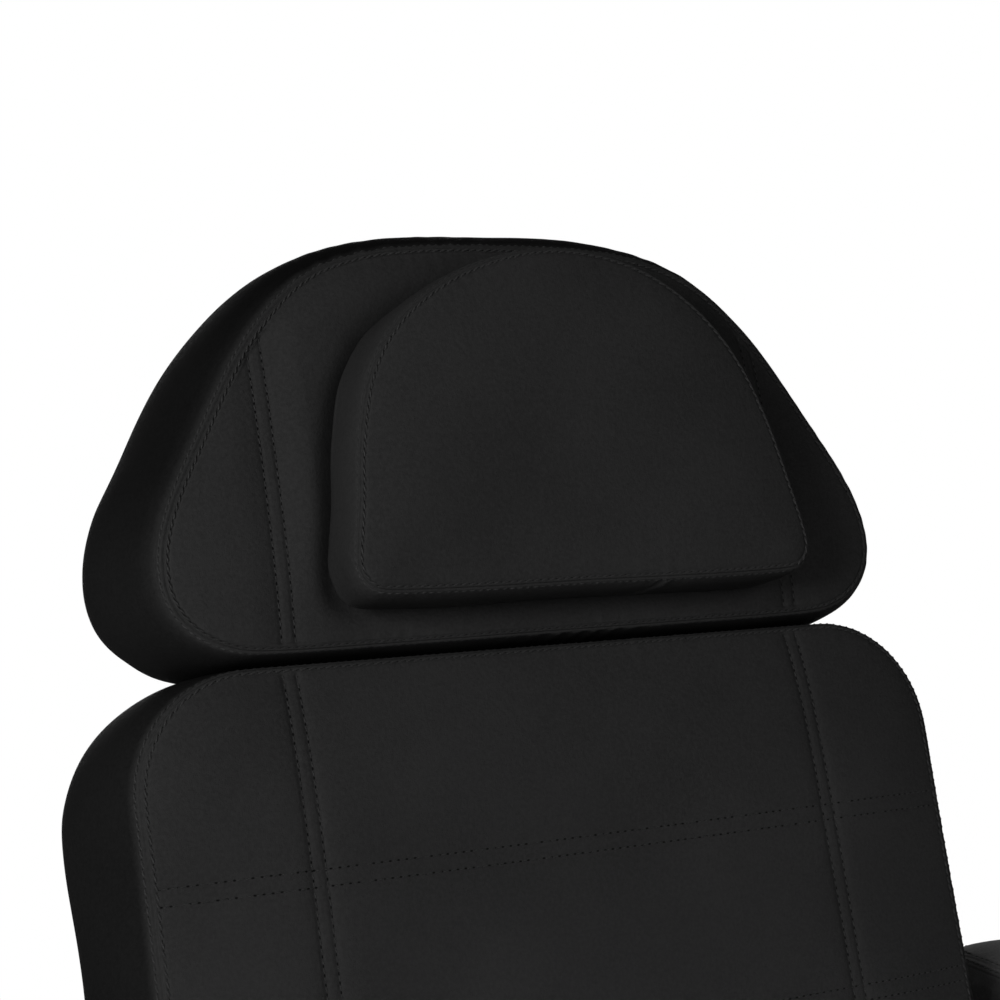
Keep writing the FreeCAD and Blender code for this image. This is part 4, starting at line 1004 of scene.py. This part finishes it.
@dataclass
class Stitches:
    """A run of thread: one stitch modelled once and copied along paths."""

    name: str
    pitch: float
    length: float = 0.80
    thick: float = 0.42
    slant: float = 10.0
    hole: float = 0.75

    def one(self) -> tuple[np.ndarray, list[tuple[int, ...]], np.ndarray]:
        """Model one stitch, an arched strand whose ends go into the leather, and the needle hole before it.

        Returns:
            Its points in mm along, across and up, its faces, and 1 for the points of the hole, which get
            painted shade.
        """
        bpy.ops.object.select_all(action="DESELECT")
        bpy.ops.mesh.primitive_cylinder_add(vertices=6, radius=1.0, depth=2.0, end_fill_type="NOTHING",
                                            rotation=(0.0, math.pi / 2, 0.0))
        strand = bpy.context.object
        bpy.ops.object.transform_apply(location=False, rotation=True, scale=False)
        bpy.ops.object.mode_set(mode="EDIT")
        bpy.ops.mesh.select_all(action="SELECT")
        bpy.ops.mesh.subdivide(number_cuts=1)
        bpy.ops.object.mode_set(mode="OBJECT")
        points = np.array([vertex.co for vertex in strand.data.vertices])
        faces = [tuple(face.vertices) for face in strand.data.polygons]
        half = self.pitch * self.length / 2
        along, across, up = points.T
        taper = 1.0 - STRAND_TAPER * along ** 2
        shaped = np.column_stack([along * half, across * self.thick * taper,
                                  up * self.thick * taper + STRAND_RISE - STRAND_FALL * along ** 2])
        bpy.data.objects.remove(strand)
        turn = math.radians(self.slant)
        shaped[:, :2] = shaped[:, :2] @ np.array([[math.cos(turn), math.sin(turn)],
                                                  [-math.sin(turn), math.cos(turn)]])
        sides, first = HOLE_SIDES, len(shaped)
        angles = np.arange(sides) * math.pi / (sides / 2)
        rim = np.column_stack([-self.pitch / 2 + self.hole * HOLE_LONG * np.cos(angles),
                               self.hole * HOLE_WIDE * np.sin(angles), np.full(sides, HOLE_RIM)])
        pit = np.array([[-self.pitch / 2, 0.0, HOLE_PIT]])
        faces += [(first + step, first + (step + 1) % sides, first + sides) for step in range(sides)]
        marks = np.concatenate([np.zeros(first), np.ones(sides + 1)])
        return np.concatenate([shaped, rim, pit]), faces, marks

    def lay(self, paths: list[list[tuple[Vector, Vector]]], body: str) -> None:
        """Copy the stitch along each path, as one piece.

        Args:
            paths: runs of points on the leather with its normals.
            body: the CAD body that the thread moves with.
        """
        shape, faces, marks = self.one()
        points, polygons, base = [], [], 0
        for path in paths:
            spots = np.array([spot for spot, _ in path])
            normals = np.array([normal for _, normal in path])
            reach = np.concatenate([[0.0], np.cumsum(np.linalg.norm(np.diff(spots, axis=0), axis=1))])
            count = int(reach[-1] / (self.pitch * MM))
            stops = (np.arange(count) + 0.5) * reach[-1] / max(count, 1)
            centre, up = sample(stops, reach, spots), sample(stops, reach, normals)
            along = sample(stops + AIM, reach, spots) - sample(stops - AIM, reach, spots)
            along /= np.linalg.norm(along, axis=1)[:, None] + 1e-12
            up -= along * (up * along).sum(1)[:, None]
            up /= np.linalg.norm(up, axis=1)[:, None] + 1e-12
            across = np.cross(up, along)
            for spot, x, y, z in zip(centre, along, across, up):
                points.append(spot + (shape[:, :1] * x + shape[:, 1:2] * y + shape[:, 2:] * z) * MM)
                polygons.extend(tuple(base + index for index in face) for face in faces)
                base += len(shape)
        mesh = bpy.data.meshes.new(self.name)
        mesh.from_pydata(np.concatenate(points).tolist(), [], polygons)
        # Marks the needle holes, which the thread's material paints dark as painted shade
        holes = mesh.attributes.new("needle_hole_shade", "FLOAT", "POINT")
        holes.data.foreach_set("value", np.tile(marks, len(points)).astype(np.float32))
        thread = bpy.data.objects.new(self.name, mesh)
        bpy.context.scene.collection.objects.link(thread)
        make_active(thread)
        bpy.ops.object.shade_smooth()
        thread.data.materials.append(Look.THREAD.material())
        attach(thread, body)
        log.info("%s: %d stitches", self.name, len(points))


# ---- the bed's sub-assemblies


@dataclass
class Headrest:
    """The D-shaped headrest and the smaller pillow on its face."""

    lie: Lie = BACK
    seam_foot: float = 438.0
    head_seam: float = 49.0
    pillow_floor: float = 58.0
    pillow_lean: Sequence[tuple[float, float]] = ((-90, 1.0), (-45, 3.0), (-15, 4.5), (0, 2.5), (10, 1.0),
                                                  (25, -2.0), (45, -3.5), (70, 0.0), (90, 3.0))

    def outline(self) -> Outline:
        """The headrest's seam, read from the photograph."""
        right = [(0, 13), (110, 13), (190, 13.5), (218, 17), (240, 28.5), (253.5, 48), (255.5, 75),
                 (246, 106), (224, 147), (192, 201), (163, 235), (138, 254), (110, 265), (78, 271),
                 (40, 273.5), (0, 274)]
        corners = [(-240, 28.5), (240, 28.5), (150, 246), (-150, 246)]
        return self._raised(right, corners)

    def _raised(self, right: list[tuple[float, float]], corners: list[tuple[float, float]]) -> Outline:
        """The outline of points that are measured from the seam's foot."""
        foot = np.array([0.0, self.seam_foot])
        return Outline.dome(np.array(right) + foot, np.array(corners) + foot)

    def pillow_outline(self) -> Outline:
        """The pillow's seam, read from the photograph."""
        right = [(0, 34.5), (80, 34.5), (138, 36), (151, 39.5), (157.5, 50), (157, 66), (151, 100),
                 (143, 133), (129, 169), (106, 201), (74, 227), (38, 242.5), (0, 248)]
        corners = [(-151, 39.5), (151, 39.5), (106, 201), (-106, 201)]
        outline = self._raised(right, corners)
        u, v = outline.line.T
        # It lies a little askew: lower and further out at the right, fuller at its two upper corners and
        # straighter at the left
        low = np.clip(1.0 - (v - v.min()) / 210.0, 0.0, 1.0)
        at_right = np.clip(u / 157.0, 0.0, 1.0)
        turn = np.arctan2(v - self.seam_foot - 100.0, u)
        fuller = 9.0 * mound(np.degrees(turn) - 55.0, 40.0) + 4.5 * mound(np.degrees(turn) - 142.0, 22.0)
        straighter = 2.5 * mound(v - self.seam_foot - 85.0, 35.0) * np.clip(-u / 120.0, 0.0, 1.0)
        outline.line = np.column_stack([u + at_right * (2.5 + 4.5 * low) + fuller * np.cos(turn) + straighter,
                                        v - at_right * 2.0 * low + fuller * np.sin(turn)])
        return outline

    def pillow_foot(self) -> Outline:
        """The pillow's edge on the headrest, which its leaning sides reach."""
        outline = self.pillow_outline()
        line = outline.dense(700)
        outward = outward_of(line)
        line = line - outward * by_angle(self.pillow_lean, outward)[0][:, None]
        outline.line = np.mean([np.roll(line, step, 0) for step in range(-9, 10)], 0)
        return outline

    def build(self) -> None:
        """Make and sew both pads."""
        head = PaddedPiece(
            "headrest_pad", "headrest", "head_cushion", self.lie, self.outline(),
            floor=-51.0, seam=self.head_seam, crown=5.0,
            bulge=((-90, 3.0, 0.5), (-72, 8.5, 1.0), (-55, 12.0, 1.5), (-40, 14.5, 2.0), (-15, 19.0, 5.5),
                   (0, 20.5, 7.0), (25, 22.0, 8.5), (45, 21.0, 4.0), (65, 19.5, 0.5), (90, 21.0, 2.0)),
            across=64, upward=34, soft=26.0, roll=6.0, edge=0.35, swell=3.5, welt=1.3, dip=(2.6, 14.0),
            # Painted shade on the boxing, darkest on the upper sides
            bands=((-90, 0.5, 9.0), (-60, 0.36, 9.0), (10, 0.36, 9.0), (45, 0.2, 8.0), (70, 0.14, 5.0),
                   (90, 0.14, 5.0)),
            dent=self.pillow_foot(), channel=183.0, channel_end=self.seam_foot + 222.0,
            puckers=(Pucker((-120.0, 715.0), 50.0, 17.0, 0.7), Pucker((-40.0, 725.0), 45.0, 23.0, 0.5),
                     Pucker((25.0, 450.0), 45.0, 15.0, 1.0), Pucker((120.0, 715.0), 60.0, 21.0, 0.4)))
        pillow = PaddedPiece(
            "pillow_pad", "pillow", "pillow_cushion", self.lie, self.pillow_outline(),
            floor=self.pillow_floor, seam=107.0, crown=5.5,
            bulge=((-90, 4.5, 0.0), (0, 2.5, 0.0), (90, 5.0, 0.0)), lean=self.pillow_lean,
            across=46, upward=30, soft=22.0, roll=11.0, edge=0.75, swell=2.0,
            # Painted shade on the pillow's boxing, lighter than on the headrest
            bands=((-90, 0.7, 20.0), (-45, 0.9, 20.0), (90, 0.9, 20.0)),
            joins=((52.0, 14.0, 0.3),), puckers=(Pucker((52.0, 470.0), 22.0, 9.0, 0.5, 10.0),))
        for pad in (head, pillow):
            pad.build()


@dataclass
class Upholstery:
    """The back, the seat and the leg part, sewn alike."""

    half: float = 283.0
    channel: float = 183.0
    pitch: float = 119.5
    first_row: float = 122.0
    back_top: float = 438.0
    leg_end: float = -455.0
    even: Sequence[tuple[float, float, float]] = ((-90, 8.5, 0.0), (-45, 15.0, 2.0), (0, 20.0, 5.0),
                                                  (45, 15.0, 2.0), (90, 8.5, 0.0))

    def build(self) -> None:
        """Make and sew the three pads."""
        sewn = {"swell": 3.5, "channel": self.channel, "welt": 0.7}
        back = PaddedPiece(
            "back_pad", "backrest", "back_cushion", BACK,
            Outline.box(self.half + 1.0, -44.0, 443.5, 40.0, 75.0, waist=3.0),
            floor=-51.5, seam=42.0, crown=8.5,
            bulge=((-90, 7.0, 0.0), (-60, 13.0, 3.0), (-30, 18.0, 5.0), (0, 20.0, 7.5), (20, 18.0, 4.0),
                   (45, 13.0, 0.5), (60, 8.5, 0.5), (75, 5.0, 0.0), (90, 2.5, 0.0)),
            across=60, upward=50, roll=10.0, edge=0.6, shoulder=(352.0, 0.35), sag=1.2, **sewn,
            rows=[self.back_top - self.first_row - step * self.pitch for step in range(3)])
        seat = PaddedPiece(
            "seat_pad", "seat", "seat_cushion", LEVEL,
            Outline.box(self.half, -300.0, 180.0, 45.0, 45.0, waist=2.0),
            floor=492.5, seam=585.5, crown=6.5,
            bulge=self.even, across=58, upward=50, **sewn,
            rows=[-60.0 + step * self.pitch for step in (-1, 0, 1)])
        leg = PaddedPiece(
            "leg_pad", "legrest", "leg_cushion", LEG,
            Outline.box(self.half, self.leg_end, 45.0, 66.0, 45.0, waist=2.0),
            floor=-51.5, seam=42.0, crown=6.5,
            bulge=self.even, across=58, upward=52, **sewn,
            rows=[self.leg_end + self.first_row + step * self.pitch for step in range(3)])
        for pad in (back, seat, leg):
            pad.build()


@dataclass
class Armrests:
    """The two armrest pads."""

    middle: float = 366.0
    half: float = 34.5
    front: float = -23.5
    rear: float = 379.5

    def build(self) -> None:
        """Make and sew both pads."""
        for side, name in ((-1, "left"), (1, "right")):
            pad = PaddedPiece(
                f"arm_{name}_pad_cover", f"arm_{name}", f"arm_{name}_pad", LEVEL,
                Outline.box(self.half, self.front, self.rear, 30.0, 30.0, middle=side * self.middle),
                floor=696.0, seam=731.0, crown=5.5,
                bulge=((-90, 7.5, 0.0), (90, 7.5, 0.0)), across=14, upward=58, soft=14.0, swell=2.5,
                # The armrests' leather is painted lighter: painted light
                nose=(62.0, 22.0), look=Look.ARM)
            pad.build()


@dataclass
class Metalwork:
    """The carried-over CAD nodes and the finish of each."""

    looks: dict[str, Look] = field(default_factory=lambda: {
        "black_steel": Look.COAT, "chrome": Look.CHROME, "zinc_steel": Look.ZINC, "black_rubber": Look.RUBBER,
        "black_plastic": Look.PLASTIC, "black_board": Look.LINING, "black_tape": Look.TAPE})

    def dress(self) -> None:
        """Give every node that stays its finish, by its slot in the record."""
        for row in frame["record"]["subparts"]:
            look = self.looks.get(row["material_slot"])
            node = frame["nodes"][row["node"]]
            if look is None:
                continue
            node.data.materials.clear()
            node.data.materials.append(look.material())
            make_active(node)
            bpy.ops.object.shade_smooth_by_angle(angle=math.radians(28.0))
            log.info("%s: %s", row["node"], look.name.lower())


# ---- studio


@dataclass
class Studio:
    """Pale floor, soft lamps, a white surround and the photograph's camera."""

    camera_from_seam: tuple[float, float, float] = (-620.2, -1124.2, 202.6)
    heading: float = 27.16
    pitch: float = -4.68
    focal_px: float = 2018.8
    frame_px: float = 1000.0
    sensor_mm: float = 36.0
    floor_tone: float = 0.82
    shadow_reach: tuple[float, float] = (0.7, 1.9)
    soft_light: float = 0.05

    def build(self) -> None:
        """Set up floor, world, lamps and camera."""
        self.floor()
        self.world()
        self.lamp("key", (-2.35, -1.15, 1.68), (0.0, 0.4, 1.05), 0.9, 88.0)
        self.lamp("front", (-1.3, -2.7, 1.00), (0.0, 0.35, 1.05), 1.9, 46.0)
        self.lamp("rear", (0.6, 3.4, 1.10), (0.0, 0.2, 0.7), 2.0, 70.0)
        self.lamp("right", (3.2, 0.7, 1.30), (0.0, 0.2, 0.8), 2.0, 10.0)
        self.lamp("over_seat", (0.0, -1.3, 2.40), (0.0, -0.5, 0.60), 0.5, 5.0, spread=44.0)
        self.camera()
        bpy.context.scene.view_settings.view_transform = "Standard"

    def floor(self) -> None:
        """A plain pale floor that turns white away from the bed and keeps its shadow."""
        bpy.ops.object.select_all(action="DESELECT")
        bpy.ops.mesh.primitive_plane_add(size=60.0, location=(0.0, 0.0, -0.0005))
        plane = bpy.context.object
        plane.name = "studio_floor"
        bpy.ops.object.mode_set(mode="EDIT")
        bpy.ops.mesh.subdivide(number_cuts=6)
        bpy.ops.object.mode_set(mode="OBJECT")
        material = bpy.data.materials.new("studio_floor")
        material.use_nodes = True
        shop = Shop(material.node_tree)
        reach = shop.node("ShaderNodeVectorMath", {"operation": "LENGTH"},
                          {0: shop.node("ShaderNodeTexCoord", out="Object")}, out="Value")
        white = shop.node("ShaderNodeEmission", {}, {"Color": grey(1.0), "Strength": 1.0})
        pale = shop.node("ShaderNodeBsdfDiffuse", {}, {"Color": grey(self.floor_tone)})
        share = shop.seen() * reach.ramp(*self.shadow_reach)
        shop.node("ShaderNodeOutputMaterial", {}, {
            "Surface": shop.node("ShaderNodeMixShader", {}, {0: share, 1: pale, 2: white})})
        plane.data.materials.append(material)

    def world(self) -> None:
        """A surround that is seen as white and gives only a little light."""
        world = bpy.data.worlds.new("studio_white")
        bpy.context.scene.world = world
        world.use_nodes = True
        shop = Shop(world.node_tree)
        soft, white = (shop.node("ShaderNodeBackground", {}, {"Color": grey(1.0), "Strength": strength})
                       for strength in (self.soft_light, 1.0))
        shop.node("ShaderNodeOutputWorld", {}, {
            "Surface": shop.node("ShaderNodeMixShader", {}, {0: shop.seen(), 1: soft, 2: white})})

    def lamp(self, name: str, place: tuple[float, float, float], target: tuple[float, float, float],
             size: float, power: float, spread: float = 180.0) -> None:
        """Add a soft square lamp that faces a point and spreads its light over an angle in degrees."""
        light = bpy.data.lights.new(name, "AREA")
        light.shape = "SQUARE"
        light.size = size
        light.energy = power
        light.spread = math.radians(spread)
        lamp = bpy.data.objects.new(name, light)
        bpy.context.scene.collection.objects.link(lamp)
        lamp.location = place
        lamp.rotation_euler = (Vector(target) - Vector(place)).to_track_quat("-Z", "Y").to_euler()

    def camera(self) -> None:
        """The camera at the photograph's place, from the fit to the seams."""
        seam = BACK.world(np.array([[0.0, Headrest.seam_foot, Headrest.head_seam]]))[0]
        data = bpy.data.cameras.new("photo_camera")
        data.sensor_width = self.sensor_mm
        data.lens = self.focal_px / self.frame_px * data.sensor_width
        data.clip_end = 200.0
        camera = bpy.data.objects.new("photo_camera", data)
        bpy.context.scene.collection.objects.link(camera)
        camera.location = Vector(seam) + Vector(self.camera_from_seam) * MM
        yaw, pitch = math.radians(self.heading), math.radians(self.pitch)
        ahead = Vector((math.sin(yaw) * math.cos(pitch), math.cos(yaw) * math.cos(pitch), math.sin(pitch)))
        camera.rotation_euler = ahead.to_track_quat("-Z", "Y").to_euler()
        bpy.context.scene.camera = camera


def main() -> None:
    """Build the bed's looks in order."""
    logging.basicConfig(level=logging.INFO, format="%(name)s %(message)s")
    for assembly in (Headrest(), Upholstery(), Armrests()):
        assembly.build()
    Metalwork().dress()
    Studio().build()


if __name__ == "__main__":
    main()
